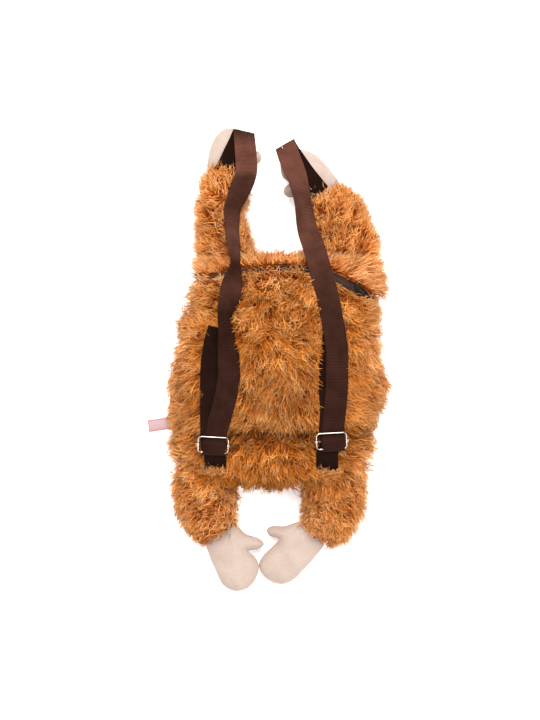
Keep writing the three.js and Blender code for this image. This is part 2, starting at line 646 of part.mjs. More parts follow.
// The buckle's wire frame: a round section swept along a rounded rectangle
function wireFrame() {
  const [w, h, r] = [WIRE.halfWidth, WIRE.halfHeight, WIRE.corner];
  const quarter = Math.PI / 2;
  const outline = new THREE.Path();
  outline.absarc(w - r, h - r, r, 0, quarter);
  outline.absarc(r - w, h - r, r, quarter, 2 * quarter);
  outline.absarc(r - w, r - h, r, 2 * quarter, 3 * quarter);
  outline.absarc(w - r, r - h, r, 3 * quarter, 4 * quarter);
  outline.closePath();
  const bends = outline.getPoints(WIRE.bends)
    .filter((p, k, all) => k === 0 || p.distanceTo(all[k - 1]) > GAP);
  if (bends[0].distanceTo(bends[bends.length - 1]) < GAP) bends.pop();
  const points = [];
  const faces = [];
  bends.forEach((bend, k) => {
    const before = bends[(k + bends.length - 1) % bends.length];
    const after = bends[(k + 1) % bends.length];
    const outward = new THREE.Vector2(after.y - before.y, before.x - after.x).normalize();
    for (let n = 0; n < WIRE.sides; n += 1) {
      const angle = (2 * Math.PI * n) / WIRE.sides;
      const out = WIRE.radius * Math.cos(angle);
      points.push(new THREE.Vector3(
        bend.x + outward.x * out, bend.y + outward.y * out, WIRE.radius * Math.sin(angle),
      ));
      const next = (k + 1) % bends.length;
      const turn = (n + 1) % WIRE.sides;
      const [a, b] = [k * WIRE.sides + n, k * WIRE.sides + turn];
      const [c, d] = [next * WIRE.sides + turn, next * WIRE.sides + n];
      faces.push([a, b, c], [a, c, d]);
    }
  });
  return facingOut(geometryOf(points, faces));
}

// The middle bar with a sleeve at each end that turns round the frame's side
function middleBar() {
  const [bore, half] = [WIRE.radius + GAP, BAR.sleeveLength / 2];
  const profile = [[bore, -half], [BAR.sleeve, -half], [BAR.sleeve, half], [bore, half], [bore, -half]];
  const sleeve = new THREE.LatheGeometry(profile.map(([x, y]) => new THREE.Vector2(x, y)), BAR.sides);
  const length = 2 * (WIRE.halfWidth - (bore + BAR.sleeve) / 2);
  const rod = new THREE.CylinderGeometry(BAR.radius, BAR.radius, length, BAR.sides).rotateZ(Math.PI / 2);
  const ends = [1, -1].map((end) => sleeve.clone().translate(end * WIRE.halfWidth, 0, 0));
  return join([rod, ...ends]);
}

// A strip that follows the zip line between two depths in the wall
function zipStrip(halfAt, top, bottom) {
  const points = [];
  const faces = [];
  for (let i = 0; i <= BAG_COLUMNS; i += 1) {
    const u = spread(i / BAG_COLUMNS);
    const [v, half] = [zipLine(u), halfAt(u)];
    for (const [edge, depth] of [[1, top], [-1, top], [-1, bottom], [1, bottom]]) {
      points.push(bagPoint(u, v + edge * half, 1, depth));
    }
  }
  for (let i = 0; i < BAG_COLUMNS; i += 1) {
    for (let n = 0; n < 4; n += 1) {
      const [a, b] = [4 * i + n, 4 * i + ((n + 1) % 4)];
      faces.push([a, b, b + 4], [a, b + 4, a + 4]);
    }
  }
  const last = points.length - 4;
  faces.push([0, 2, 1], [0, 3, 2], [last, last + 1, last + 2], [last, last + 2, last + 3]);
  return facingOut(geometryOf(points, faces));
}

// The zip's slider with its pull tab laid back along the zip
function zipSlider() {
  const { at: u, step, width, length, height } = ZIP_SLIDER;
  const here = bagPoint(u, zipLine(u), 1);
  const back = bagPoint(u - step, zipLine(u - step), 1).sub(here).normalize();
  const out = bagNormal(u, zipLine(u), 1);
  const across = back.clone().cross(out).normalize();
  const frame = new THREE.Matrix4().makeBasis(across, back, out).setPosition(here);
  const body = new THREE.BoxGeometry(width, length, height).translate(0, 0, height / 2 + GAP);
  const pull = new THREE.BoxGeometry(ZIP_TAB.width, ZIP_TAB.length, ZIP_TAB.thick);
  pull.translate(0, ZIP_TAB.length / 2, height + ZIP_TAB.thick - ZIP_TAB.sunk);
  return join([body, pull]).applyMatrix4(frame);
}

function labelKnots() {
  const across = new THREE.Vector3(-LABEL.slant, LABEL.root - LABEL.tip, 0).normalize();
  const knots = [];
  for (let k = 0; k <= LABEL_STEPS; k += 1) {
    const t = k / LABEL_STEPS;
    const [x, y] = [lerp(LABEL.root, LABEL.tip, t), LABEL.y - LABEL.slant * t];
    const at = new THREE.Vector3(x, y, SEAM_HEIGHT - LABEL.droop * t * t);
    knots.push({ at, across });
  }
  return knots;
}

const backpack = new THREE.Group();

function add(name, geometry, material, parent = backpack) {
  geometry.computeVertexNormals();
  const mesh = new THREE.Mesh(geometry, material);
  mesh.name = name;
  parent.add(mesh);
}

// The hollow bag: the pile runs down and outwards, and over the top edge above the zip
const LIMBS = [ARM_LEFT, ARM_RIGHT, LEG_LEFT, LEG_RIGHT];
const downPile = (u) => new THREE.Vector3(PILE_FAN.down * u, -1, 0).normalize();
const upPile = (u) => new THREE.Vector3(PILE_FAN.up * u, 1, 0).normalize();
const belowZip = (u) => zipLine(u) - zipSlot(u);
const aboveZip = (u) => zipLine(u) + zipSlot(u);
const bottomEnd = () => -1;
const topEnd = () => 1;
const PANELS = [
  { name: "front_panel", rows: FRONT_ROWS, side: -1, lowV: bottomEnd, highV: topEnd, pile: downPile },
  { name: "back_panel", rows: BACK_ROWS, side: 1, lowV: bottomEnd, highV: belowZip, pile: downPile },
  { name: "top_panel", rows: TOP_ROWS, side: 1, lowV: aboveZip, highV: topEnd, pile: upPile },
];
for (const panel of PANELS) add(panel.name, furPanel(panel, LIMBS), FUR);

add("zip_tape", zipStrip((u) => zipSlot(u) * ZIP_TAPE.edge, ZIP_TAPE.top, ZIP_TAPE.bottom), ZIPPER);
add("zip_coil", zipStrip(() => ZIP_COIL.half, ZIP_COIL.top, ZIP_COIL.bottom), ZIPPER);
add("zip_slider", zipSlider(), NICKEL);

// Limbs trimmed to the bag, and mitts trimmed to the limbs
const TRIM = 2 * GAP;
const trimmers = [bagForm(TRIM), ...PANELS.map((panel) => furPanel(panel, LIMBS, GAP))];
const armLock = (point, t) => pileAt(point, []) * lockGrowth(point.y - BAG_TOP, t);
const legLock = (point, t) => pileAt(point, []) * lockGrowth(BAG_BOTTOM - point.y, t);
function lockGrowth(past, t) {
  return smoothstep(past, LIMB_LOCKS.from, LIMB_LOCKS.full) * (1 - smoothstep(t, LIMB_LOCKS.wrist, 1));
}
const SEWN_ON = [
  { limbName: "arm_left", sections: ARM_LEFT, lock: armLock, mittName: "hand_left", form: HAND_LEFT },
  { limbName: "arm_right", sections: ARM_RIGHT, lock: armLock, mittName: "hand_right", form: HAND_RIGHT },
  { limbName: "leg_left", sections: LEG_LEFT, lock: legLock, mittName: "foot_left", form: FOOT_LEFT },
  { limbName: "leg_right", sections: LEG_RIGHT, lock: legLock, mittName: "foot_right", form: FOOT_RIGHT },
];
for (const { limbName, sections, lock, mittName, form } of SEWN_ON) {
  add(limbName, cut(limb(sections, lock), trimmers), FUR);
  add(mittName, cut(mitt(form), [limb(sections, lock, TRIM)]), MITT);
}

// Straps, anchors and buckles
const CARRIERS = [
  { side: "left", strap: STRAP_LEFT, tail: TAIL_LEFT, buckle: BUCKLE_LEFT, play: PLAY_LEFT },
  { side: "right", strap: STRAP_RIGHT, tail: TAIL_RIGHT, buckle: BUCKLE_RIGHT, play: PLAY_RIGHT },
];
for (const { side, strap, tail, buckle, play } of CARRIERS) {
  const matrix = buckleMatrix(buckle);
  const { enter, round, leave, lead } = play;
  const wander = (row, t) => (t < 0.5 ? lerp(enter, round, 2 * t) : lerp(round, leave, 2 * t - 1));
  const past = buckleKnots(STRAP_AT_BUCKLE, matrix, wander);
  const route = [...routeKnots(strap), ...past, ...routeKnots(tail)];
  add(`strap_${side}`, webbing(route, WEBBING_WIDTH, WEBBING), STRAP);
  const drawn = (row) => lead * smoothstep(-row.up, ANCHOR_LEAD.from, ANCHOR_LEAD.to);
  const { up, out } = ANCHOR_FOOT[side];
  const plies = [{ up, out }, ...ANCHOR_LOOP, { up, out: out + ANCHOR_PLY }];
  add(`strap_anchor_${side}`, webbing(buckleKnots(plies, matrix, drawn), WEBBING_WIDTH, WEBBING), STRAP);
  const hardware = new THREE.Group();
  hardware.applyMatrix4(matrix);
  add(`buckle_${side}`, wireFrame(), NICKEL, hardware);
  add(`buckle_bar_${side}`, middleBar(), NICKEL, hardware);
  backpack.add(hardware);
}

add("side_label", webbing(labelKnots(), LABEL.width, LABEL.thick), SATIN);

export default backpack;
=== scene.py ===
# Looks of a plush kids backpack that lies on its front: shaggy pile, pale mitts, webbing straps,
# wire slider buckles, a zip and a bare side label. Sizes are in millimetres until a mesh is made.
import math

import bmesh
import bpy
import numpy as np
from mathutils import Matrix, Vector
from numpy.random import default_rng


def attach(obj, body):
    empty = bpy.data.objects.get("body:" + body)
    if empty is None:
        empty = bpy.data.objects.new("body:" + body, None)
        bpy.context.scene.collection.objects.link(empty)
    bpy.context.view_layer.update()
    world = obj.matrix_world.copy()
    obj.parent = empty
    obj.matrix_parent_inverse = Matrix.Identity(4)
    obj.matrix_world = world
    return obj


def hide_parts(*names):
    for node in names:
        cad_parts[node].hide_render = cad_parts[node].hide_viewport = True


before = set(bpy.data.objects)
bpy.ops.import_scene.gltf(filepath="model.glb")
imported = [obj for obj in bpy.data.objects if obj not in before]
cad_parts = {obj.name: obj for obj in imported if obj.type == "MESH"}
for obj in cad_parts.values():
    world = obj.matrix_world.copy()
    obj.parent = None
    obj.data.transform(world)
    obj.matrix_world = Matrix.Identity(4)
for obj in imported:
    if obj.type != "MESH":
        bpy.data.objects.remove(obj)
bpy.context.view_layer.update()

MM = 0.001
UP = np.array([0.0, 0.0, 1.0])
WAVE_PER_UNIT = math.pi / 10  # a wave texture of scale 1 has a ridge each 0.1 pi
SIDES = ("left", "right")
WHITE = (255, 255, 255)

# Form of the bag, as in the frame
BAG_TOP = 117.0
BAG_BOTTOM = -140.0
SEAM_HEIGHT = 42.0
BACK_HEIGHT = 92.0
CORNER_PULL = 0.12
SIDE_ROUNDING = 3.2
END_ROUNDING = 4.0
FRONT_PRESS = 1.25
SKIN = 2.5
GAP = 0.3
# columns: y, left, right
BAG_SIDES = np.array([
    (-140, -105, 107),
    (-90, -109, 115),
    (-28, -108, 127),
    (20, -97, 117),
    (70, -88, 123),
    (117, -83, 125),
], float)
CREASE_Y = -84.0
CREASE_DEPTH = 9.0
CREASE_WIDTH = 8.0
CREASE_DROP = 5.0
CREASE_REACH = 0.8
CREASE_FADE = 0.5
ZIP_MIDDLE = 0.907
ZIP_FALL_LEFT = 0.05
ZIP_FALL_RIGHT = 0.27
ZIP_FALL_POWER = 2.2
ZIP_SLOT = 0.024
ZIP_SLOT_WIDEN = 0.045
WALL_STEP = 0.004  # step of u and v over which a wall's slope is taken
WALL_LIMIT = 0.999  # the slope is taken up to here, as the wall is upright at 1

# Stuffed limbs from the bag to the wrist or ankle; columns: x, y, z, half width, half height
ARM_LEFT = [(-46, 96, 33, 24, 20), (-50, 125, 26, 26, 28), (-56, 160, 24, 21, 27),
            (-54, 192, 23, 22, 25), (-50, 214, 23, 18, 18)]
ARM_RIGHT = [(84, 94, 33, 26, 20), (84, 125, 26, 31, 28), (80, 152, 24, 29, 27),
             (73, 174, 23, 25, 25), (67, 190, 23, 18, 18)]
LEG_LEFT = [(-70, -118, 32, 25, 20), (-74, -144, 27, 30, 29), (-73, -166, 25, 28, 28),
            (-68, -185, 22, 23, 24), (-62, -198, 20, 17, 17)]
LEG_RIGHT = [(69, -118, 32, 24, 20), (74, -144, 27, 30, 29), (73, -168, 25, 28, 28),
             (66, -188, 22, 23, 24), (57, -200, 20, 17, 17)]

# Mitts: outline seen from above, heart of the outline, seam height at the wrist and at the tip
HAND_LEFT = dict(heart=(-46, 232), wrist=(200, 24), tip=(264, 19), outline=[
    (-66, 205), (-73, 226), (-70, 246), (-64, 260), (-55, 269), (-43, 271), (-31, 267), (-23, 256),
    (-21, 247), (-11, 241), (-11, 232), (-26, 222), (-34, 205)])
HAND_RIGHT = dict(heart=(36, 214), wrist=(182, 24), tip=(246, 19), outline=[
    (81, 202), (75, 216), (63, 231), (51, 241), (38, 246), (24, 245), (14, 237), (12, 225),
    (15, 213), (23, 206), (17, 201), (16, 194.5), (21, 190), (30, 190), (35, 193), (45, 179)])
FOOT_LEFT = dict(heart=(-40, -220), wrist=(-196, 20), tip=(-271, 10), outline=[
    (-75, -206), (-72, -226), (-64, -246), (-55, -264), (-42, -271), (-27, -268), (-17, -257), (-13, -242),
    (-17, -231), (-26, -223), (-14, -221), (-7, -215), (-12, -209), (-28, -203), (-46, -190)])
FOOT_RIGHT = dict(heart=(24, -206), wrist=(-190, 20), tip=(-263, 10), outline=[
    (64, -213), (54, -229), (40, -245), (27, -258), (14, -263), (1, -260), (-10, -250), (-13, -239),
    (-8, -229), (3, -218), (10, -209), (-1, -205), (-4, -198), (2, -194), (16, -194), (38, -188),
    (54, -192)])
MITT_HALF = 11.0
MITT_ROUND = 15.0

# Webbing routes from the wrist seam over the fingertips and down the back;
# columns: x, y, z, heading of the width, raise of its right edge
WEBBING_WIDTH = 25.0
WEBBING_THICK = 1.1
STRAP_LEFT = [
    (-52.5, 216.5, 43.4, -25, 0), (-48, 226, 34.7, -25, 0), (-42, 239, 33.3, -23, 0),
    (-35, 254, 30.4, -18, 0), (-31.5, 263, 28.6, -14, 0), (-30.2, 265.4, 30.4, -12, 0),
    (-30, 262, 33, -10, 0), (-28, 240, 43, -4, 0), (-27.5, 214, 53, -2, 10), (-37, 188, 60, -16, -30),
    (-43, 171, 63, -8, -45), (-43.2, 152, 67, 2, -52), (-41.3, 132, 75, 4, -58),
    (-39, 108, 86, -2, -66), (-41.2, 94, 91, -8, -40), (-44.4, 76, 95, -10, -18),
    (-47.5, 60, 98, -10, -30), (-50.2, 48, 99.5, -4, -50), (-48.6, 29, 100, 4, -46),
    (-47, 10, 99, 2, -24), (-45.8, -17, 98.4, -2, -4), (-48.5, -36, 98, -10, 0),
    (-54, -58, 97.4, -12, 0)]
TAIL_LEFT = [
    (-66.2, -62, 94.2, -2, 0), (-66, -38, 94, -2, 0), (-66, -14, 93.6, -3, 0),
    (-64, 8, 93, -8, -4), (-60, 27, 92.6, -14, -8), (-57, 36, 92.4, -15, -8)]
STRAP_RIGHT = [
    (57.5, 193, 38, 38, 0), (49, 204, 34.8, 38, 0), (39.5, 216, 33.8, 38, 0), (26.5, 235, 31, 35, 0),
    (20, 245.5, 28.6, 32, 0), (17.5, 250.5, 30.4, 30, 0), (18.2, 247, 33.2, 28, 0), (24.8, 227, 43, 20, 0),
    (32, 207, 53, 15, -26), (37.6, 181, 61, 10, -38),
    (42.1, 152, 67, 11, -24), (48.4, 132, 75, 14, -4), (53.7, 114, 84, 16, 0),
    (58.8, 94, 90.5, 15, 0), (63.8, 76, 94, 14, 0), (68.4, 52, 97.6, 12, 0),
    (72.1, 33, 98.6, 9, -6), (74.9, 13, 98.6, 4, -4), (75.2, -14, 98, 0, 0),
    (74.7, -38, 97.4, -1, 0), (73, -56, 97, -3, 0)]
TAIL_RIGHT = [
    (68.5, -60, 94, 0, 0), (67.6, -38, 93.6, 0, 0), (67.4, -14, 93.4, 1, 0),
    (69, 10, 93.4, 4, 0), (71, 30, 93, 6, 0)]
FOLD_ROW = 6  # the row where a strap starts back down from the fingertips

# Buckles: place, turn and pitch; how far right the strap lies at the top bar, at the bottom bar and at its
# tail, how far right the anchor is sewn, and its foot; and the ways of the webbing past the bars as (up, out)
BUCKLES = {
    "left": dict(place=(-64, -95.5, 93), turn=-3, pitch=14, play=(2.8, 0.0, -2.8), lead=3.0,
                 foot=(-33, -16.4)),
    "right": dict(place=(69, -91, 95.2), turn=3, pitch=11.6, play=(2.8, 2.0, -0.6), lead=-5.4,
                  foot=(-39, -20.2))}
ANCHOR_LEAD = (0.0, 18.0)  # distances down from the buckle between which the anchor is drawn aside
STRAP_AT_BUCKLE = [
    (14, -2.7), (9, -2.6), (6.5, -1.1), (5.3, 1.4), (3.4, 4.2), (0.5, 5.2), (-4, 4.7),
    (-7.6, 3.2), (-10.3, 2.1), (-11.4, 0), (-10.5, -2.0), (-8.6, -2.4), (-6.5, -1.3),
    (-4.8, 0.9), (-2.8, 2.9), (0, 3.7), (2.7, 2.7), (3.9, 0.4), (4.7, -2.0), (7.6, -4.1), (14, -4.4)]
ANCHOR_LOOP = [
    (-22, -9.6), (-14, -6.1), (-9, -5.4), (-4.6, -4.9), (-1.6, -3.5),
    (0.8, -2.3), (2.2, -0.6), (1.9, 1.3), (0, 2.3), (-1.9, 1.3), (-2.4, -0.8),
    (-3.6, -2.7), (-6, -3.6), (-9, -4.0), (-14, -4.6), (-22, -8.1)]
ANCHOR_PLY = 1.5  # the upper ply ends this far above the foot of the lower one
WIRE_RADIUS = 1.0
WIRE_HALF = (16.8, 9.0)
WIRE_CORNER = 4.0
BAR_RADIUS = 0.95

LABEL_Y = -71.3
LABEL_WIDTH = 14.0
LABEL_ROOT = -108.8
LABEL_TIP = -141.0
LABEL_SLANT = 5.4
LABEL_DROOP = 6.0

# Camera: straight above, as the photograph is taken
CAMERA_HEIGHT = 2000.0
SHARP_HEIGHT = 50.0  # height at which the frame is FRAME_HIGH tall
FRAME_HIGH = 828.0
SENSOR = 36.0


# Curves and forms that the pieces share

def smoothstep(value, low, high):
    share = np.clip((value - low) / (high - low), 0.0, 1.0)
    return share * share * (3.0 - 2.0 * share)


def bell(value, middle, width):
    """Smooth hump that is 1 at its middle."""
    return np.exp(-(((value - middle) / width) ** 2))


def unit(vectors):
    return vectors / np.maximum(np.linalg.norm(vectors, axis=-1, keepdims=True), 1e-9)


def smooth_run(rows, per_span, closed=False):
    """Points on a centripetal Catmull-Rom curve through rows whose first three columns are a place."""
    rows = np.asarray(rows, float)
    if closed:
        knots = np.vstack([rows[-1:], rows, rows[:2]])
    else:
        knots = np.vstack([2 * rows[:1] - rows[1:2], rows, 2 * rows[-1:] - rows[-2:-1]])
    share = (np.arange(per_span) / per_span)[:, None]
    run = []
    for a, b, c, d in zip(knots, knots[1:], knots[2:], knots[3:]):
        before, span, after = (np.sqrt(np.linalg.norm((q - p)[:3])) for p, q in ((a, b), (b, c), (c, d)))
        leave = ((b - a) / before - (c - a) / (before + span) + (c - b) / span) * span
        arrive = ((c - b) / span - (d - b) / (span + after) + (d - c) / after) * span
        square = 3 * (c - b) - 2 * leave - arrive
        cube = 2 * (b - c) + leave + arrive
        run.append(b + leave * share + square * share**2 + cube * share**3)
    if not closed:
        run.append(rows[-1:])
    return np.vstack(run)


def bag_side(y, column):
    """Left or right edge of the bag at y, eased between the rows of the table."""
    low = np.clip(np.searchsorted(BAG_SIDES[:, 0], y, side="right") - 1, 0, len(BAG_SIDES) - 2)
    share = smoothstep(y, BAG_SIDES[low, 0], BAG_SIDES[low + 1, 0])
    return BAG_SIDES[low, column] + (BAG_SIDES[low + 1, column] - BAG_SIDES[low, column]) * share


def crease_at(u, y):
    """Depth of the fold above the bottom band."""
    dip = CREASE_DEPTH * bell(y, CREASE_Y, CREASE_WIDTH)
    dip = dip * (1.0 - smoothstep(np.abs(u), CREASE_FADE, CREASE_REACH))
    return dip + CREASE_DROP * (1.0 - smoothstep(y, CREASE_Y - CREASE_WIDTH, CREASE_Y + CREASE_WIDTH))


def bag_point(u, v, side, inset=0.0):
    """Point of the bag's wall: u runs from left to right and v from the feet to the hands."""
    half = (BAG_TOP - BAG_BOTTOM) / 2 - inset
    y = (BAG_TOP + BAG_BOTTOM) / 2 + half * v * np.sqrt(1 - CORNER_PULL * u * u)
    left = bag_side(y, 1) + inset
    right = bag_side(y, 2) - inset
    x = (left + right) / 2 + (right - left) / 2 * u * np.sqrt(1 - CORNER_PULL * v * v)
    dome = np.clip(1 - np.abs(u) ** SIDE_ROUNDING, 0, 1) * np.clip(1 - np.abs(v) ** END_ROUNDING, 0, 1)
    dome = np.sqrt(dome)
    if side == "front":
        z = SEAM_HEIGHT - (SEAM_HEIGHT - inset) * np.minimum(1.0, FRONT_PRESS * dome)
    else:
        z = SEAM_HEIGHT + GAP + (BACK_HEIGHT - inset - SEAM_HEIGHT) * dome - crease_at(u, y) * dome
    return np.stack([x, y, z], axis=-1)


def bag_normal(u, v, side):
    """Outward normal of the wall, and how much wall lies to a step of u and v."""
    left, right, low, high = (np.clip(place, -WALL_LIMIT, WALL_LIMIT) for place in (
        u - WALL_STEP, u + WALL_STEP, v - WALL_STEP, v + WALL_STEP))
    along_u = bag_point(right, v, side) - bag_point(left, v, side)
    along_v = bag_point(u, high, side) - bag_point(u, low, side)
    normal = np.cross(along_u, along_v)
    if side == "front":
        normal = -normal
    return unit(normal), np.linalg.norm(normal, axis=-1)


def zip_line(u):
    fall = np.where(u < 0, ZIP_FALL_LEFT, ZIP_FALL_RIGHT)
    return ZIP_MIDDLE - fall * np.abs(u) ** ZIP_FALL_POWER


def zip_slot(u):
    return ZIP_SLOT + ZIP_SLOT_WIDEN * np.maximum(0.0, u)


def buckle_matrix(buckle):
    turn = Matrix.Rotation(math.radians(buckle["turn"]), 4, "Z")
    pitch = Matrix.Rotation(math.radians(buckle["pitch"]), 4, "X")
    return Matrix.Translation(buckle["place"]) @ turn @ pitch


def buckle_rows(buckle, ways, sideways):
    """Rows of a webbing route past the buckle, from its (up, out) ways, each drawn to one side."""
    matrix = buckle_matrix(buckle)
    places = [matrix @ Vector((side, up, out)) for (up, out), side in zip(ways, sideways)]
    return [(*place, buckle["turn"], 0) for place in places]


def strap_past(buckle):
    run = np.linspace(0.0, 1.0, len(STRAP_AT_BUCKLE))
    return buckle_rows(buckle, STRAP_AT_BUCKLE, np.interp(run, (0.0, 0.5, 1.0), buckle["play"]))


def anchor_rows(buckle):
    up, out = buckle["foot"]
    ways = [(up, out), *ANCHOR_LOOP, (up, out + ANCHOR_PLY)]
    down = -np.array(ways)[:, 0]
    return buckle_rows(buckle, ways, buckle["lead"] * smoothstep(down, *ANCHOR_LEAD))


def stations(rows, per_span):
    """Middle, width direction and outward direction of webbing along its route."""
    run = smooth_run(rows, per_span)
    turn, tilt = np.radians(run[:, 3]), np.radians(run[:, 4])
    across = np.stack([np.cos(turn) * np.cos(tilt), np.sin(turn) * np.cos(tilt), np.sin(tilt)], axis=-1)
    along = unit(np.gradient(run[:, :3], axis=0))
    out = unit(np.cross(along, across))
    return run[:, :3], across, out


# Making of meshes and pieces

def to_linear(*rgb):
    """Colour as seen (0 to 255) to the colour that a shader takes."""
    parts = [channel / 255 for channel in rgb]
    parts = [part / 12.92 if part <= 0.04045 else ((part + 0.055) / 1.055) ** 2.4 for part in parts]
    return (*parts, 1.0)


def new_piece(name, mesh, material, nodes=()):
    """Put a mesh in the scene as a piece of the object, in place of the nodes it stands for."""
    piece = bpy.data.objects.new(name, mesh)
    bpy.context.collection.objects.link(piece)
    mesh.materials.append(material)
    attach(piece, "root")
    if nodes:
        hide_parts(*nodes)
    return piece


def mesh_of(name, bm):
    """Finish a bmesh in millimetres as a smooth mesh in metres."""
    bmesh.ops.scale(bm, vec=(MM, MM, MM), verts=bm.verts)
    mesh = bpy.data.meshes.new(name)
    bm.to_mesh(mesh)
    bm.free()
    for face in mesh.polygons:
        face.use_smooth = True
    return mesh


def grid_sheet(columns, rows, place):
    """Grid whose points, given as shares across and along, go where place puts them."""
    bm = bmesh.new()
    uv = bm.loops.layers.uv.new("weave")
    bmesh.ops.create_grid(bm, x_segments=columns, y_segments=rows, size=1)
    flat = np.array([vert.co[:2] for vert in bm.verts])
    across, along = (flat[:, 0] + 1) / 2, (flat[:, 1] + 1) / 2
    points, sizes = place(across, along)
    spots = {}
    for vert, point, size in zip(bm.verts, points, sizes):
        vert.co = point
        spots[vert] = size
    for face in bm.faces:
        for loop in face.loops:
            loop[uv].uv = spots[loop.vert]
    return bm


def add_wall(piece, thickness, offset):
    wall = piece.modifiers.new("wall", "SOLIDIFY")
    wall.thickness = thickness * MM
    wall.offset = offset
    wall.use_even_offset = False


# Finishes

def new_finish(name, sockets):
    """A material and its shader, with the values that are the same all over set on the shader."""
    finish = bpy.data.materials.new(name)
    finish.use_nodes = True
    shader = finish.node_tree.nodes["Principled BSDF"]
    for socket, value in sockets.items():
        shader.inputs[socket].default_value = value
    return finish, finish.node_tree, shader


def add_node(tree, kind, values=None, sources=None, **settings):
    """A shader node with its settings, its unlinked values and the sockets that feed it."""
    node = tree.nodes.new(kind)
    for key, value in settings.items():
        setattr(node, key, value)
    for socket, value in (values or {}).items():
        node.inputs[socket].default_value = value
    for socket, source in (sources or {}).items():
        tree.links.new(source, node.inputs[socket])
    return node


def object_noise(tree, scale, detail=3.0, distortion=0.0):
    spot = add_node(tree, "ShaderNodeTexCoord").outputs["Object"]
    values = {"Scale": scale, "Detail": detail, "Distortion": distortion}
    return add_node(tree, "ShaderNodeTexNoise", values, {"Vector": spot}).outputs["Fac"]


def colour_steps(tree, source, *steps):
    """Colours by the value of a source, each step being a place on it and a colour."""
    ramp = add_node(tree, "ShaderNodeValToRGB", None, {"Fac": source})
    elements = ramp.color_ramp.elements
    while len(elements) < len(steps):
        elements.new(0.5)
    for element, (place, colour) in zip(elements, steps):
        element.position = place
        element.color = colour
    return ramp.outputs["Color"]


def shades(tree, source, *steps):
    """Colour steps whose colours are given as seen."""
    return colour_steps(tree, source, *((place, to_linear(*colour)) for place, colour in steps))


def multiplied(tree, first, second):
    """Two colours multiplied."""
    mix = add_node(tree, "ShaderNodeMix", {0: 1.0}, {6: first, 7: second},
                   data_type="RGBA", blend_type="MULTIPLY")
    return mix.outputs[2]


def clouded(tree, colours, cloud, dark, full):
    """Colours dimmed in a cloud: its darkest step, and the place from which they are full."""
    return multiplied(tree, colours, shades(tree, object_noise(tree, **cloud), dark, (full, WHITE)))


def paint(tree, shader, colours):
    tree.links.new(colours, shader.inputs["Base Color"])


def add_bump(tree, shader, height, strength, depth):
    values = {"Strength": strength, "Distance": depth * MM}
    bump = add_node(tree, "ShaderNodeBump", values, {"Height": height})
    tree.links.new(bump.outputs["Normal"], shader.inputs["Normal"])


def uv_bands(tree, direction, pitch, distortion=0.0):
    """Ridges a pitch apart across or along cloth whose UV map is in millimetres."""
    spot = add_node(tree, "ShaderNodeUVMap", uv_map="weave").outputs["UV"]
    values = {"Scale": WAVE_PER_UNIT / pitch, "Distortion": distortion, "Detail": 1.0}
    wave = add_node(tree, "ShaderNodeTexWave", values, {"Vector": spot},
                    wave_type="BANDS", bands_direction=direction)
    return wave.outputs["Fac"]


def weave_share(tree, axis, size):
    """Share of the way across or along cloth of a size, whose UV map is in millimetres."""
    spot = add_node(tree, "ShaderNodeUVMap", uv_map="weave").outputs["UV"]
    way = add_node(tree, "ShaderNodeSeparateXYZ", None, {"Vector": spot}).outputs[axis]
    return add_node(tree, "ShaderNodeMapRange", {2: size}, {0: way}).outputs[0]


def mottled_finish(name, sockets, cloud, dark, light, grain=None, strength=0.0, depth=0.0):
    """A finish of two colours in a cloud, with fine bumps where it has a grain."""
    finish, tree, shader = new_finish(name, sockets)
    paint(tree, shader, shades(tree, object_noise(tree, **cloud), dark, light))
    if grain:
        add_bump(tree, shader, object_noise(tree, **grain), strength, depth)
    return finish


def pile_finish():
    """Long matt hairs: colour from the hair's own roots and tips."""
    finish, tree, shader = new_finish("shaggy_pile", {"Roughness": 0.7, "Specular IOR Level": 0.0})
    hair = add_node(tree, "ShaderNodeAttribute", attribute_name="pile").outputs["Color"]
    patches = dict(scale=38.0, detail=4.0, distortion=0.6)
    paint(tree, shader, clouded(tree, hair, patches, (0.30, (214, 204, 196)), 0.68))
    return finish


def velour_finish():
    """Short pale plush of the mitts."""
    finish, tree, shader = new_finish("mitt_velour", {
        "Roughness": 0.85, "Specular IOR Level": 0.2,
        "Sheen Weight": 0.45, "Sheen Roughness": 0.4, "Sheen Tint": to_linear(255, 230, 218)})
    patches = object_noise(tree, scale=34.0, detail=5.0, distortion=0.8)
    colours = shades(tree, patches, (0.32, (171, 152, 141)), (0.66, (179, 164, 154)))
    nap = dict(scale=900.0, detail=2.0)
    paint(tree, shader, clouded(tree, colours, nap, (0.30, (238, 233, 230)), 0.70))
    add_bump(tree, shader, object_noise(tree, scale=1100.0, detail=3.0), strength=0.35, depth=0.5)
    return finish


WEBBING_LONGEST = 600.0
# Painted light and shade along the webbing's way, as a brightness: the palm in the shade of its loop, the lit
# upper run, the shaded lower run and tail, and on the left a shaded kink
WEBBING_PAINTED_LIGHT = {
    "left": ((0.09, 0.1), (0.13, 1.0), (0.185, 1.0), (0.2, 0.45), (0.26, 0.5), (0.315, 0.9), (0.355, 0.8),
             (0.38, 0.27), (0.425, 0.5), (0.475, 0.25), (0.76, 0.22), (0.86, 0.1)),
    "right": ((0.09, 0.1), (0.13, 1.0), (0.19, 1.0), (0.24, 0.68), (0.32, 0.76), (0.46, 0.3),
              (0.76, 0.22), (0.86, 0.1))}


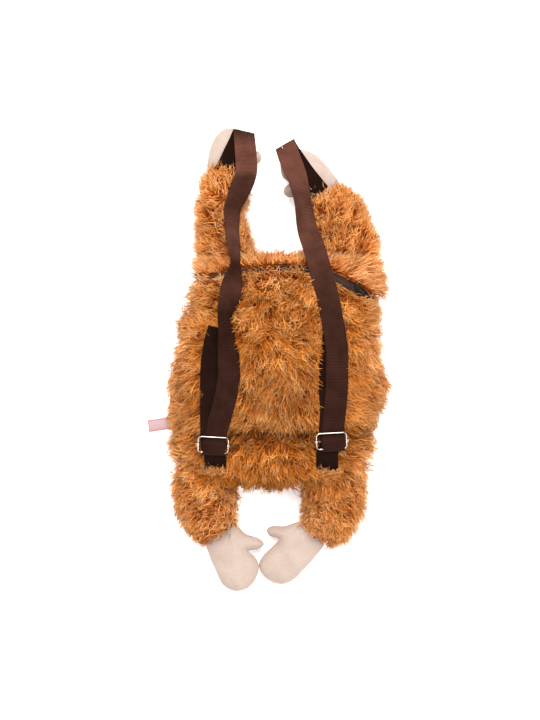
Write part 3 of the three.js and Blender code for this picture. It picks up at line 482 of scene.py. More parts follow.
def webbing_finish(side):
    """Tightly ribbed dark brown webbing of one side, with painted light on its upper run and painted shade on
    its palm, lower run and tail.
    """
    finish, tree, shader = new_finish(f"brown_webbing_{side}", {
        "Roughness": 0.6, "Specular IOR Level": 0.05, "Specular Tint": to_linear(255, 196, 176)})
    ribs = uv_bands(tree, "Y", pitch=1.7, distortion=0.35)
    yarns = uv_bands(tree, "X", pitch=0.9, distortion=0.5)
    weave = add_node(tree, "ShaderNodeMath", None, {0: ribs, 1: yarns}, operation="MULTIPLY").outputs[0]
    colours = shades(tree, weave, (0.0, (72, 42, 33)), (0.8, (122, 79, 66)))
    wear = dict(scale=60.0, detail=4.0, distortion=0.4)
    cloth = clouded(tree, colours, wear, (0.32, (208, 202, 200)), 0.70)
    # painted light and shade by the way along the webbing
    painted_steps = ((place, (tone, tone, tone, 1.0)) for place, tone in WEBBING_PAINTED_LIGHT[side])
    painted_light = colour_steps(tree, weave_share(tree, "Y", WEBBING_LONGEST), *painted_steps)
    paint(tree, shader, multiplied(tree, cloth, painted_light))
    add_bump(tree, shader, weave, strength=0.55, depth=0.35)
    return finish


def metal_finish(name, dark, light, roughness):
    """Plated metal with fine rubbing marks."""
    return mottled_finish(
        name, {"Metallic": 1.0, "Roughness": roughness}, dict(scale=420.0, detail=4.0, distortion=1.2),
        (0.30, dark), (0.66, light), grain=dict(scale=1600.0, detail=2.0), strength=0.08, depth=0.2)


def zip_tape_finish():
    """Herringbone tape of the zip."""
    finish, tree, shader = new_finish("zip_tape_weave", {"Roughness": 0.8, "Specular IOR Level": 0.1})
    ribs = uv_bands(tree, "DIAGONAL", pitch=1.1, distortion=0.4)
    paint(tree, shader, shades(tree, ribs, (0.1, (33, 23, 20)), (0.9, (62, 46, 40))))
    add_bump(tree, shader, ribs, strength=0.5, depth=0.3)
    return finish


def satin_finish():
    """Bare woven satin, pale pink with a stronger pink along its edges."""
    finish, tree, shader = new_finish("label_satin_weave", {
        "Roughness": 0.5, "Specular IOR Level": 0.3, "Sheen Weight": 0.1})
    edge = (172, 120, 123)
    cloth = (168, 143, 145)
    paint(tree, shader, shades(
        tree, weave_share(tree, "X", LABEL_WIDTH), (0.0, edge), (0.12, edge), (0.18, cloth),
        (0.82, cloth), (0.88, edge), (1.0, edge)))
    add_bump(tree, shader, uv_bands(tree, "Y", pitch=0.6, distortion=0.2), strength=0.3, depth=0.15)
    return finish


PILE = pile_finish()
# Knitted backing that the pile grows from, its brown darkened as painted shade between the hairs
BACKING = mottled_finish(
    "pile_backing", {"Roughness": 0.9, "Specular IOR Level": 0.2}, dict(scale=240.0, detail=4.0),
    (0.30, (104, 48, 16)), (0.70, (150, 80, 32)),
    grain=dict(scale=620.0, detail=2.0), strength=0.6, depth=0.8)
VELOUR = velour_finish()
WEBBING = {side: webbing_finish(side) for side in SIDES}
NICKEL = metal_finish("bright_nickel", (163, 151, 139), (194, 181, 167), roughness=0.2)
ZIP_METAL = metal_finish("dark_plated_zip", (28, 24, 22), (48, 42, 39), roughness=0.45)
ZIP_TAPE = zip_tape_finish()
NYLON = mottled_finish("zip_nylon", {"Roughness": 0.36}, dict(scale=500.0, detail=3.0),
                       (0.35, (40, 28, 24)), (0.70, (66, 48, 40)))
SATIN = satin_finish()
THREAD = mottled_finish("sewing_thread", {"Roughness": 0.7}, dict(scale=900.0, detail=2.0),
                        (0.35, (214, 202, 196)), (0.65, (244, 236, 232)))


# Webbing routes, made early because the pile lies flat under them

ROUTES = {"left": STRAP_LEFT + strap_past(BUCKLES["left"]) + TAIL_LEFT,
          "right": STRAP_RIGHT + strap_past(BUCKLES["right"]) + TAIL_RIGHT}
ANCHORS = {side: anchor_rows(BUCKLES[side]) for side in SIDES}
ANCHOR_LEG = slice(0, 6)  # rows of an anchor's lower leg
PRESS_SPAN = 4
PRESSING_RUNS = [stations(rows, PRESS_SPAN) for rows in (
    ROUTES["left"][FOLD_ROW:], ROUTES["right"][FOLD_ROW:], TAIL_LEFT, TAIL_RIGHT,
    ANCHORS["left"][ANCHOR_LEG], ANCHORS["right"][ANCHOR_LEG])]
PRESS_MARGIN = 1.0
PRESS_CLEAR = 1.4


def press_under_webbing(points):
    """Push the points that lie under webbing, seen from above, below it."""
    shape = points.shape
    points = points.reshape(-1, 3).copy()
    for middle, across, _ in PRESSING_RUNS:
        low, high = middle.min(axis=0)[:2] - WEBBING_WIDTH, middle.max(axis=0)[:2] + WEBBING_WIDTH
        near = np.flatnonzero(np.all((points[:, :2] > low) & (points[:, :2] < high), axis=1))
        if not len(near):
            continue
        spot = points[near]
        apart = np.linalg.norm(spot[:, None, :2] - middle[None, :, :2], axis=-1)
        nearest = apart.argmin(axis=1)
        flat = across[nearest, :2]
        level = np.linalg.norm(flat, axis=-1)
        offset = np.einsum("ij,ij->i", spot[:, :2] - middle[nearest, :2], flat) / level
        height = middle[nearest, 2] + offset * across[nearest, 2] / level
        covered = np.abs(offset) < WEBBING_WIDTH / 2 * level + PRESS_MARGIN
        covered &= apart.min(axis=1) < WEBBING_WIDTH / 2 + PRESS_MARGIN
        lowest = np.where(covered, height - PRESS_CLEAR, np.inf)
        points[near, 2] = np.minimum(spot[:, 2], lowest)
    return points.reshape(shape)


# Pile: hairs in tufts, made as joined meshes

HAIR_POINTS = 4
HAIR_SIDES = 3
HAIR_SHARES = np.array([0.0, 0.34, 0.7, 1.0])
HAIR_RADII = np.array([0.5, 0.56, 0.44, 0.0])
HAIR_WAVE = np.array([0.0, 1.0, -0.8, 0.5])
HAIR_WANDER = 2.2
HAIR_CRIMP = 1.1
HAIR_STIFF = 0.8  # share of its heading that a tuft keeps from point to point
HAIR_REACH = (0.72, 1.12)  # range of a hair's length, as a share of its tuft's
HAIR_PULL = (0.35, 1.1)  # range of how far a hair is drawn into its tuft
HAIR_CLOSING = 0.8
HAIR_THICK = 0.92
HAIR_THICKNESS = (0.7, 1.2)
FLOOR_CLEAR = 0.7
ROOT_COLOUR = np.array(to_linear(152, 66, 14)[:3])
BODY_COLOUR = np.array(to_linear(226, 136, 49)[:3])
TIP_COLOUR = np.array(to_linear(240, 189, 122)[:3])
PALE_COLOUR = np.array(to_linear(246, 216, 168)[:3])
# Dark hairs lose more green and blue than red, and pale ones gain more
HAIR_DEPTH = np.array([1.0, 1.5, 2.0])
# How much the tone varies by tuft, by patch and by hair, and how much the paleness varies, with its most
TUFT_VARIES = 0.12
CLUMP_VARIES = 0.16
HAIR_VARIES = 0.08
PALE_VARIES = 0.15
PALE_MOST = 0.9


def along_wall(flow, normals):
    """Part of a flow that lies along a wall."""
    return unit(flow - normals * np.einsum("ij,ij->i", flow, normals)[:, None])


def tuft_paths(rng, roots, normals, flow, length, lift, lean, sag, curl):
    """Middle line of each tuft: out of the backing, then over with the nap and down."""
    def stray():
        return rng.normal(0.0, 1.0, roots.shape) * curl[:, None]

    step = (length / (HAIR_POINTS - 1))[:, None]
    line = [roots]
    heading = unit(normals * lift[:, None] + flow + stray())
    for turn in range(HAIR_POINTS - 1):
        line.append(line[-1] + heading * step)
        fall = -UP * sag[:, None] * (turn + 1)
        heading = unit(heading * HAIR_STIFF + flow * lean[:, None] + fall + stray())
    return np.stack(line, axis=1)


def hairs_of(rng, lines, normals, hairs, spread, gather):
    """Hairs about the tufts' middle lines, drawn together towards their tips."""
    tuft = np.repeat(np.arange(len(lines)), hairs)
    count = len(tuft)
    offset = rng.normal(0.0, spread, (count, 3))
    offset -= normals[tuft] * np.einsum("ij,ij->i", offset, normals[tuft])[:, None]
    reach = rng.uniform(*HAIR_REACH, count)[:, None, None]
    pull = gather * rng.uniform(*HAIR_PULL, count)
    closing = 1.0 - pull[:, None] * HAIR_SHARES[None, :] ** HAIR_CLOSING
    roots = lines[tuft][:, :1]
    paths = roots + (lines[tuft] - roots) * reach + offset[:, None, :] * closing[:, :, None]
    wander = rng.normal(0.0, HAIR_WANDER, (count, HAIR_POINTS, 3)) * HAIR_SHARES[None, :, None]
    crimp = rng.normal(0.0, HAIR_CRIMP, (count, 1, 3)) * HAIR_WAVE[None, :, None]
    return paths + wander + crimp, tuft


def clump(roots):
    """Patches where the pile is darker or paler, from -1 to 1."""
    x, y = roots[:, 0], roots[:, 1]
    return (np.sin(x / 7.0 + 1.7 * np.sin(y / 11.0)) + np.sin(y / 6.0 + 1.3 * np.sin(x / 9.0 + 2.0))) / 2


def hair_colours(rng, tuft, roots, tone, pale):
    """Colour at each point of each hair: dark at the root, tan at the tip, varied by tuft and hair."""
    base = np.stack([ROOT_COLOUR, (ROOT_COLOUR + BODY_COLOUR) / 2, BODY_COLOUR, TIP_COLOUR])
    by_tuft = rng.normal(0.0, TUFT_VARIES, len(roots)) + CLUMP_VARIES * clump(roots)
    by_hair = np.exp(by_tuft[tuft] + rng.normal(0.0, HAIR_VARIES, len(tuft)))
    by_hair = tone[tuft, None, None] * by_hair[:, None, None] ** HAIR_DEPTH
    colours = base[None] * by_hair
    share = np.clip(pale[tuft] + rng.normal(0.0, PALE_VARIES, len(tuft)), 0.0, PALE_MOST)
    share = share[:, None] * HAIR_SHARES[None, :] ** 2
    colours = colours + (PALE_COLOUR * by_hair - colours) * share[:, :, None]
    return colours / np.maximum(colours.max(axis=-1, keepdims=True), 1.0)


def hair_mesh(name, rng, paths, colours, width):
    """One joined mesh of closed three-sided hairs that taper to a point."""
    count = len(paths)
    rings = HAIR_POINTS - 1
    along = unit(np.gradient(paths, axis=1))
    side = unit(np.cross(along, unit(rng.normal(0.0, 1.0, (count, 1, 3)))))
    over = np.cross(along, side)
    radius = (HAIR_RADII[None, :] * width[:, None])[:, :rings, None, None]
    angle = np.arange(HAIR_SIDES) * 2 * math.pi / HAIR_SIDES
    around = side[:, :rings, None] * np.cos(angle)[:, None] + over[:, :rings, None] * np.sin(angle)[:, None]
    tube = paths[:, :rings, None] + around * radius
    points = np.concatenate([tube.reshape(count, -1, 3), paths[:, -1:]], axis=1)
    tints = np.concatenate([np.repeat(colours[:, :rings], HAIR_SIDES, axis=1), colours[:, -1:]], axis=1)
    each = rings * HAIR_SIDES + 1
    faces = [(0, 2, 1)]
    for ring in range(rings):
        for corner in range(HAIR_SIDES):
            here = ring * HAIR_SIDES + corner
            beside = ring * HAIR_SIDES + (corner + 1) % HAIR_SIDES
            if ring == rings - 1:
                faces.append((here, beside, each - 1))
            else:
                faces.append((here, beside, beside + HAIR_SIDES))
                faces.append((here, beside + HAIR_SIDES, here + HAIR_SIDES))
    faces = np.array(faces)[None] + (np.arange(count) * each)[:, None, None]
    mesh = bpy.data.meshes.new(name)
    mesh.vertices.add(count * each)
    mesh.vertices.foreach_set("co", (points * MM).astype(np.float32).ravel())
    mesh.loops.add(faces.size)
    mesh.loops.foreach_set("vertex_index", faces.astype(np.int32).ravel())
    mesh.polygons.add(faces.size // 3)
    mesh.polygons.foreach_set("loop_start", np.arange(0, faces.size, 3, dtype=np.int32))
    tint = mesh.attributes.new("pile", "FLOAT_COLOR", "POINT")
    with_alpha = np.concatenate([tints, np.ones((*tints.shape[:2], 1))], axis=2)
    tint.data.foreach_set("color", with_alpha.astype(np.float32).ravel())
    mesh.update(calc_edges=True)
    return mesh


def add_pile(name, seed, field, hairs=12, spread=4.0, gather=0.48, settle=press_under_webbing):
    """A piece of pile from its field: where the tufts root, how they lie and how they are coloured."""
    rng = default_rng(seed)
    roots, normals = field["roots"], field["normals"]
    flow = along_wall(field["flow"], normals)
    length, lift, lean, sag, curl, tone, pale = (
        np.broadcast_to(field[part], len(roots))
        for part in ("length", "lift", "lean", "sag", "curl", "tone", "pale"))
    lines = tuft_paths(rng, roots, normals, flow, length, lift, lean, sag, curl)
    paths, tuft = hairs_of(rng, lines, normals, hairs, spread, gather)
    colours = hair_colours(rng, tuft, roots, tone, pale)
    paths = settle(paths)
    paths[..., 2] = np.maximum(paths[..., 2], FLOOR_CLEAR)
    width = HAIR_THICK * rng.uniform(*HAIR_THICKNESS, len(paths))
    new_piece(name, hair_mesh(name, rng, paths, colours, width), PILE)


# Bag walls and their pile

WALL_GRID = 48
WALL_INSET = 1.0
WALL_FLOOR = 2.0  # the pressed pile keeps the backing this far off the surface
WALL_REACH = 0.992  # how near to a wall's edges its pile roots
SPOT_TRIES = 40000
BACK_PARTING = 0.04  # the back's pile is made in two halves that meet here
BACK_TUFTS = 960
BACK_HAIR = (19.0, 26.0)
TOP_TUFTS = 260
TOP_HAIR = (12.0, 16.0)
FOOT_TUFTS = 30
FOOT_HAIR = (13.0, 18.0)
FOOT_GAP = (0.5, 6.0)  # distances below an anchor's foot between which its pile roots
LOW_FOLD_Y = -131.0  # the seam below the bottom band
WHORL = (10.0, -97.0)  # where the nap of the bottom band parts
HEM_Y = -75.0  # the pile above the crease ends in a hem here
HEM_LAY = 0.8  # share of its length that a hair there covers
HEM_RAGGED = (2.0, 7.0)
ZIP_BARE = 0.004  # share of the wall beside the zip that is shorn
ZIP_SEED = 16
ZIP_STRAYS = {1: 0.3, -1: 0.14}  # share of hairs that stray over the zip from below, and from above
ZIP_CROSSING = (-2.6, 0.2)  # range that most hairs reach over the zip's edge
ZIP_STRAY_REACH = 9.0
ZIP_RUN = np.linspace(-0.99, 0.99, 100)
ZIP_SPOTS = bag_point(ZIP_RUN, zip_line(ZIP_RUN), "back")
ZIP_OPEN = 40.0  # past the ends of the zip the pile is let together again by this much
ZIP_OPEN_AT = (0.94, 0.96)
ZIP_HALVES = zip_slot(ZIP_RUN) * (BAG_TOP - BAG_BOTTOM) / 2
ZIP_HALVES = ZIP_HALVES - ZIP_OPEN * smoothstep(np.abs(ZIP_RUN), *ZIP_OPEN_AT)


def spread_out(share):
    """Share from 0 to 1 to a place from -1 to 1, closer together towards both ends."""
    place = 2 * share - 1
    return place * (1.2 - 0.2 * place * place)


def add_bag_wall(name, node, side, low, high):
    """Hollow wall of the bag between two lines of v, with its backing's thickness inwards."""
    def place(across, along):
        u = spread_out(across)
        bottom, top = low(u), high(u)
        v = bottom + (top - bottom) * (spread_out(along) + 1) / 2
        points = bag_point(u, v, side, WALL_INSET)
        points[:, 2] = np.maximum(points[:, 2], WALL_FLOOR)
        return points, points[:, :2]

    bm = grid_sheet(WALL_GRID, WALL_GRID, place)
    if side == "front":
        bmesh.ops.reverse_faces(bm, faces=bm.faces)
    piece = new_piece(name, mesh_of(name, bm), BACKING, [node])
    add_wall(piece, SKIN, -1.0)


def pick(rng, count, weight):
    return rng.choice(len(weight), count, replace=False, p=weight / weight.sum())


def bag_spots(rng, count, side, wanted):
    """Roots, spread evenly over the part of a wall that is wanted."""
    u, v = rng.uniform(-WALL_REACH, WALL_REACH, (2, SPOT_TRIES))
    _, area = bag_normal(u, v, side)
    chosen = pick(rng, count, area * wanted(u, v))
    u, v = u[chosen], v[chosen]
    normals, _ = bag_normal(u, v, side)
    return u, v, bag_point(u, v, side, WALL_INSET), normals


def swirl(x, y):
    """Slow wander of the nap, in radians."""
    return 0.42 * np.sin(x / 23 + y / 31) + 0.34 * np.sin(y / 17 - x / 41 + 1.3)


def turned(flow, angle):
    x = flow[:, 0] * np.cos(angle) - flow[:, 1] * np.sin(angle)
    y = flow[:, 0] * np.sin(angle) + flow[:, 1] * np.cos(angle)
    return np.stack([x, y, flow[:, 2]], axis=-1)


def back_field(rng, count, covered):
    """Nap of the back: down the middle, outwards at the sides, up and over at the zip."""
    def wanted(u, v):
        return (v < zip_line(u) - zip_slot(u) - ZIP_BARE) & covered(u)

    u, v, roots, normals = bag_spots(rng, count, "back", wanted)
    x, y = roots[:, 0], roots[:, 1]
    near_zip = smoothstep(v, zip_line(u) - 0.2, zip_line(u) - 0.04)
    up = near_zip * (1 - 0.1 * smoothstep(u, 0.2, 0.45))
    shorn = near_zip * smoothstep(u, 0.25, 0.45)
    flow = np.stack([1.25 * u + 0.15 * np.sign(u) * u * u, -1.0 + 0.5 * u * u + 1.5 * up, 0 * u], axis=-1)
    below = smoothstep(-y, -CREASE_Y - 4.0, -CREASE_Y + 4.0)
    whorl = unit(np.stack([x - WHORL[0], y - WHORL[1], 0 * x], axis=-1)) + np.array([0.0, -0.4, 0.0])
    flow = unit(flow) + (whorl - unit(flow)) * (0.6 * below * (1 - smoothstep(np.abs(u), 0.5, 0.8)))[:, None]
    loose = smoothstep(y, -30.0, 40.0)
    flow = turned(unit(flow), swirl(x, y) * (0.45 + 0.75 * loose) + rng.normal(0, 0.2 + 0.2 * loose))
    creased = smoothstep(u, -0.75, -0.5)
    # Painted shade: the pile is painted darker in the crease below the hem and along the low fold
    shade = bell(y, CREASE_Y, 11.0) * creased * (1 - smoothstep(y, HEM_Y - 3.0, HEM_Y + 3.0))
    fold = bell(y, LOW_FOLD_Y, 5.0) * (1 - smoothstep(np.abs(u), 0.4, 0.6))
    dark = np.maximum(shade, 0.8 * fold)
    length = rng.uniform(*BACK_HAIR, count) * (1 - 0.4 * near_zip) * (1 - 0.1 * shorn) * (1 - 0.4 * dark)
    length = length * (1 + 0.25 * smoothstep(-v, 0.85, 0.95))
    to_hem = np.maximum((y - HEM_Y) / HEM_LAY, 0.0) + rng.uniform(*HEM_RAGGED, count)
    hemmed = (creased > 0.5) & (y > HEM_Y)
    length = np.where(hemmed, np.minimum(length, to_hem), length)
    heart = bell(u, 0.0, 0.5) * smoothstep(-y, -20.0, 30.0) * (1 - below)
    # Painted rim light: the pile towards the sides is painted lighter and paler
    painted_rim_light = smoothstep(np.abs(u), 0.72, 0.95)
    return dict(
        roots=roots, normals=normals, flow=flow, length=length,
        lift=(rng.uniform(0.45, 1.0, count) + 0.8 * loose) * (1 - 0.6 * np.maximum(dark, 0.3 * shorn)),
        lean=0.75 - 0.4 * np.maximum(loose, 0.6 * below), sag=0.1,
        curl=0.27 + 0.17 * np.maximum(loose, below),
        tone=0.9 - 0.13 * heart - 0.5 * dark + 0.02 * loose * (1 - painted_rim_light) + 0.12 * painted_rim_light,
        pale=0.06 + 0.2 * heart + 0.5 * painted_rim_light + 0.4 * up)


def top_field(rng, count):
    """Nap of the strip above the zip: up and over the edge."""
    def wanted(u, v):
        return v > zip_line(u) + zip_slot(u) + ZIP_BARE

    u, _, roots, normals = bag_spots(rng, count, "back", wanted)
    right = smoothstep(u, 0.55, 0.95)
    beside = smoothstep(np.abs(u + 0.04), 0.05, 0.35)
    flow = np.stack([0.9 * u + 1.6 * right, 1.0 - 0.8 * right, -0.2 + 0 * u], axis=-1)
    flow = turned(unit(flow), rng.normal(0, 0.35, count))
    # Painted light: this strip's pile is painted lighter and paler than the back's
    return dict(
        roots=roots, normals=normals, flow=flow,
        length=rng.uniform(*TOP_HAIR, count) * (1 + 0.3 * beside + 0.6 * right),
        lift=rng.uniform(0.9, 1.6, count), lean=0.35, sag=0.1, curl=0.36, tone=1.18, pale=0.55)


def foot_field(rng, count, anchor):
    """Short pile that stands up against an anchor's foot."""
    def wanted(u, v):
        right, over, _ = (bag_point(u, v, "back") - np.array(anchor[0][:3])).T
        return (np.abs(right) < WEBBING_WIDTH / 2) & (over < -FOOT_GAP[0]) & (over > -FOOT_GAP[1])

    _, _, roots, normals = bag_spots(rng, count, "back", wanted)
    flow = turned(np.tile([0.0, 1.0, 0.0], (count, 1)), rng.normal(0, 0.5, count))
    return dict(
        roots=roots, normals=normals, flow=flow, length=rng.uniform(*FOOT_HAIR, count),
        lift=rng.uniform(1.4, 2.2, count), lean=0.6, sag=0.04, curl=0.3, tone=0.95, pale=0.3)


def front_field(rng, count, lowest, highest, length):
    """Nap of the front's walls and pressed face, outwards and down to the surface it lies on."""
    def wanted(u, v):
        z = bag_point(u, v, "front")[:, 2]
        return (z >= lowest) & (z < highest)

    u, v, roots, normals = bag_spots(rng, count, "front", wanted)
    roots[:, 2] = np.maximum(roots[:, 2], FLOOR_CLEAR)
    flow = np.stack([u, v - 0.2, -0.35 + 0 * u], axis=-1)
    flow = turned(unit(flow), swirl(roots[:, 0], roots[:, 1]) + rng.normal(0, 0.3, count))
    return dict(
        roots=roots, normals=normals, flow=flow, length=rng.uniform(0.8, 1.15, count) * length,
        lift=rng.uniform(0.6, 1.3, count), lean=0.45, sag=0.08, curl=0.36, tone=1.05, pale=0.4)


def parted_at_zip(side):
    """Settling of the pile on one side of the zip: most hairs end at its edge, and a few stray over it."""
    def settle(paths):
        rng = default_rng(ZIP_SEED)
        line = np.interp(paths[..., 0], ZIP_SPOTS[:, 0], ZIP_SPOTS[:, 1])
        half = np.interp(paths[..., 0], ZIP_SPOTS[:, 0], ZIP_HALVES)
        stray = rng.uniform(0.0, 1.0, len(paths)) < ZIP_STRAYS[side]
        share = rng.uniform(0.0, 1.0, len(paths))
        reach = np.where(stray, ZIP_STRAY_REACH * share, np.interp(share, (0.0, 1.0), ZIP_CROSSING))
        over = (paths[..., 1] - line) * side + half - reach[:, None]
        paths[..., 1] -= side * np.maximum(over, 0.0)
        return press_under_webbing(paths)

    return settle


add_bag_wall("front_wall", "front_panel", "front", lambda u: 0 * u - 1, lambda u: 0 * u + 1)
add_bag_wall("back_wall", "back_panel", "back", lambda u: 0 * u - 1, lambda u: zip_line(u) - zip_slot(u))
add_bag_wall("top_wall", "top_panel", "back", lambda u: zip_line(u) + zip_slot(u), lambda u: 0 * u + 1)
# columns: name, seeds of its hairs and of its tufts, part of the back that it covers
for name, seed, tuft_seed, covered in (
        ("back_pile_left", 11, 21, lambda u: u < BACK_PARTING),
        ("back_pile_right", 12, 22, lambda u: u >= BACK_PARTING)):
    field = back_field(default_rng(tuft_seed), BACK_TUFTS, covered)
    add_pile(name, seed, field, settle=parted_at_zip(1))
add_pile("top_pile", 13, top_field(default_rng(23), TOP_TUFTS), settle=parted_at_zip(-1))
# columns: name, seeds of its hairs and of its tufts, tufts, lowest and highest root, length, hairs in a tuft
for name, seed, tuft_seed, tufts, lowest, highest, length, hairs in (
        ("front_pile", 14, 24, 680, 7.0, 60.0, 21.0, 11),
        ("pressed_pile", 15, 25, 220, -1.0, 7.0, 14.0, 8)):
    add_pile(name, seed, front_field(default_rng(tuft_seed), tufts, lowest, highest, length), hairs=hairs)
for side, seed, tuft_seed in (("left", 27, 17), ("right", 28, 18)):
    field = foot_field(default_rng(tuft_seed), FOOT_TUFTS, ANCHORS[side])
    add_pile(f"anchor_{side}_pile", seed, field, spread=2.0, settle=np.copy)


# Stuffed limbs and their pile

LIMB_SPAN = 8
LIMB_TURNS = 40
LIMB_RINGS = 36
LIMB_END = 5.0
LIMB_TUFTS = 390
LIMB_HAIR = (14.0, 19.0)
LIMB_PILE = (0.02, 1.0)  # shares of a limb's length between which its pile roots
LIMB_LAP = 14.0  # how far into the bag's outline that pile starts
LIMB_CLEAR = 1.0
# columns: node, rows, way outwards, pull towards the mitt, further pull at its edge,
# longer hair by the bag, how far the hair stands up, tone (raised on the arms as painted light), seeds of its
# hairs and of its tufts
LIMBS = [
    ("arm_left", ARM_LEFT, (-1.0, 0.1, 0.0), 0.45, 1.6, 0.2, 1.0, 1.16, 41, 31),
    ("arm_right", ARM_RIGHT, (1.0, 0.1, 0.0), 0.45, 1.6, 0.55, 1.0, 1.16, 42, 32),
    ("leg_left", LEG_LEFT, (-0.8, -0.2, 0.0), 0.5, -0.2, 0.0, 0.5, 1.0, 43, 33),
    ("leg_right", LEG_RIGHT, (0.8, -0.2, 0.0), 0.5, -0.2, 0.0, 0.5, 1.0, 44, 34),
]


def limb_at(rows, share):
    """Middle, sideways, upward and forward directions and half sizes of a limb at shares of its length."""
    run = smooth_run(rows, LIMB_SPAN)
    along = unit(np.gradient(run[:, :3], axis=0))
    side = unit(np.cross(along, UP))
    parts = (run[:, :3], side, np.cross(side, along), along, run[:, 3:4], run[:, 4:5])
    at = np.linspace(0.0, 1.0, len(run))
    middle, side, over, along, across, high = (
        np.stack([np.interp(share, at, column) for column in part.T], axis=-1) for part in parts)
    return middle, side, over, along, across[:, 0], high[:, 0]


def mapped_ball(segments, rings, place):
    """Closed form made of a ball whose points, by turn and by way from pole to pole, are placed anew."""
    bm = bmesh.new()
    bmesh.ops.create_uvsphere(bm, u_segments=segments, v_segments=rings, radius=1)
    ball = np.array([vert.co for vert in bm.verts])
    turn = np.arctan2(ball[:, 1], ball[:, 0])
    way = np.arccos(np.clip(ball[:, 2], -1, 1)) / math.pi
    for vert, point in zip(bm.verts, place(turn, way)):
        vert.co = point
    bm.normal_update()
    bmesh.ops.recalc_face_normals(bm, faces=bm.faces)
    return bm


def add_limb(node, rows):
    """Stuffed tube with closed ends that stands for a limb."""
    def place(turn, way):
        middle, side, over, _, across, high = limb_at(rows, way)
        closing = np.minimum(1.0, LIMB_END * np.sin(math.pi * way))
        points = middle + side * (np.cos(turn) * across * closing)[:, None]
        points = points + over * (np.sin(turn) * high * closing)[:, None]
        points[:, 2] = np.maximum(points[:, 2], WALL_FLOOR)
        return points

    name = f"{node}_wall"
    bm = mapped_ball(LIMB_TURNS, LIMB_RINGS, place)
    piece = new_piece(name, mesh_of(name, bm), BACKING, [node])


def limb_field(rng, count, rows, outward, onward, over_mitt, flare, stand, tone):
    """Nap of a limb: outwards from the bag's middle and on towards the mitt, standing up or combed flat."""
    way = rng.uniform(*LIMB_PILE, SPOT_TRIES)
    turn = rng.uniform(-math.pi, math.pi, SPOT_TRIES)
    middle, side, over, along, across, high = limb_at(rows, way)
    roots = middle + side * (np.cos(turn) * across)[:, None] + over * (np.sin(turn) * high)[:, None]
    outside = (roots[:, 1] > BAG_TOP - LIMB_LAP) | (roots[:, 1] < BAG_BOTTOM + LIMB_LAP)
    clear = roots[:, 2] > LIMB_CLEAR
    chosen = pick(rng, count, (across + high) * outside * clear)
    normals = side * (np.cos(turn) / across)[:, None] + over * (np.sin(turn) / high)[:, None]
    roots, normals, along = roots[chosen], unit(normals)[chosen], along[chosen]
    end = smoothstep(way[chosen], 0.7, 0.92)
    flow = along * (onward + over_mitt * end)[:, None] + np.array(outward) * 0.6
    flow = turned(unit(flow), swirl(roots[:, 0], roots[:, 1]) * 0.8 + rng.normal(0, 0.3, count))
    facing = normals @ unit(np.array(outward))
    flared = flare * np.maximum(facing, 0.0) * (1 - smoothstep(way[chosen], 0.15, 0.5))
    inner = 1 + 0.3 * np.minimum(facing, 0.0) * (1 - 2 * end)
    # Painted rim light: the pile that faces sideways is painted lighter and paler
    painted_rim_light = 1 - smoothstep(normals[:, 2], 0.05, 0.65)
    return dict(
        roots=roots, normals=normals, flow=flow,
        length=rng.uniform(*LIMB_HAIR, count) * (1 + flared + 0.3 * (1 - stand)) * (1 - 0.25 * end) * inner,
        lift=rng.uniform(1.0, 2.0, count) * (1 - 0.5 * end) * stand,
        lean=0.2 + 0.35 * end + 0.4 * (1 - stand), sag=0.05, curl=0.32,
        tone=tone + 0.1 * painted_rim_light, pale=0.3 + 0.4 * painted_rim_light)


for node, rows, outward, onward, over_mitt, flare, stand, tone, seed, tuft_seed in LIMBS:
    add_limb(node, rows)
    field = limb_field(
        default_rng(tuft_seed), LIMB_TUFTS, rows, outward, onward, over_mitt, flare, stand, tone)
    add_pile(f"{node}_pile", seed, field, hairs=11, gather=0.5)


# Pale mitts

MITT_SPAN = 8
MITT_RINGS = 36
MITT_FLOOR = 0.3
MITT_RIPPLE = 0.05
MITT_RIPPLES = (4.1, 6.3)  # how slow the ripples are sideways and lengthways


def add_mitt(name, mitt):
    """Stuffed mitt: its height grows from the seam inwards, so thumb and palm swell apart."""
    outline = smooth_run([(x, y, 0.0) for x, y in mitt["outline"]], MITT_SPAN, closed=True)[:, :2]
    heart = np.array(mitt["heart"], float)
    (wrist, wrist_height), (tip, tip_height) = mitt["wrist"], mitt["tip"]

    def place(turn, way):
        at = (turn + math.pi) / (2 * math.pi) * len(outline)
        ring = np.arange(len(outline) + 1)
        looped = np.vstack([outline, outline[:1]])
        edge = np.stack([np.interp(at, ring, looped[:, axis]) for axis in (0, 1)], axis=-1)
        flat = heart + (edge - heart) * np.sin(math.pi * way)[:, None]
        to_seam = np.linalg.norm(flat[:, None] - outline[None], axis=-1).min(axis=1)
        to_seam = np.where(np.abs(way - 0.5) < 1e-6, 0.0, to_seam)
        fall = 1.0 - np.minimum(to_seam / MITT_ROUND, 1.0)
        rise = MITT_HALF * np.sqrt(1.0 - fall * fall)
        rise = rise * (1 + MITT_RIPPLE * np.sin((flat / MITT_RIPPLES).sum(axis=1)))
        share = np.clip((flat[:, 1] - wrist) / (tip - wrist), 0.0, 1.0)
        middle = wrist_height + (tip_height - wrist_height) * share
        z = np.maximum(middle + np.where(way < 0.5, rise, -rise), MITT_FLOOR)
        return np.column_stack([flat, z])

    bm = mapped_ball(len(outline), MITT_RINGS, place)
    piece = new_piece(name + "_plush", mesh_of(name, bm), VELOUR, [name])


for name, mitt in (("hand_left", HAND_LEFT), ("hand_right", HAND_RIGHT),
                   ("foot_left", FOOT_LEFT), ("foot_right", FOOT_RIGHT)):
    add_mitt(name, mitt)


# Webbing straps and the loops that anchor the buckles

WEBBING_SPAN = 6
WEBBING_COLUMNS = 10
WEBBING_CROWN = 0.3
WEBBING_EDGE = 0.3
WEBBING_EDGE_STEPS = 2


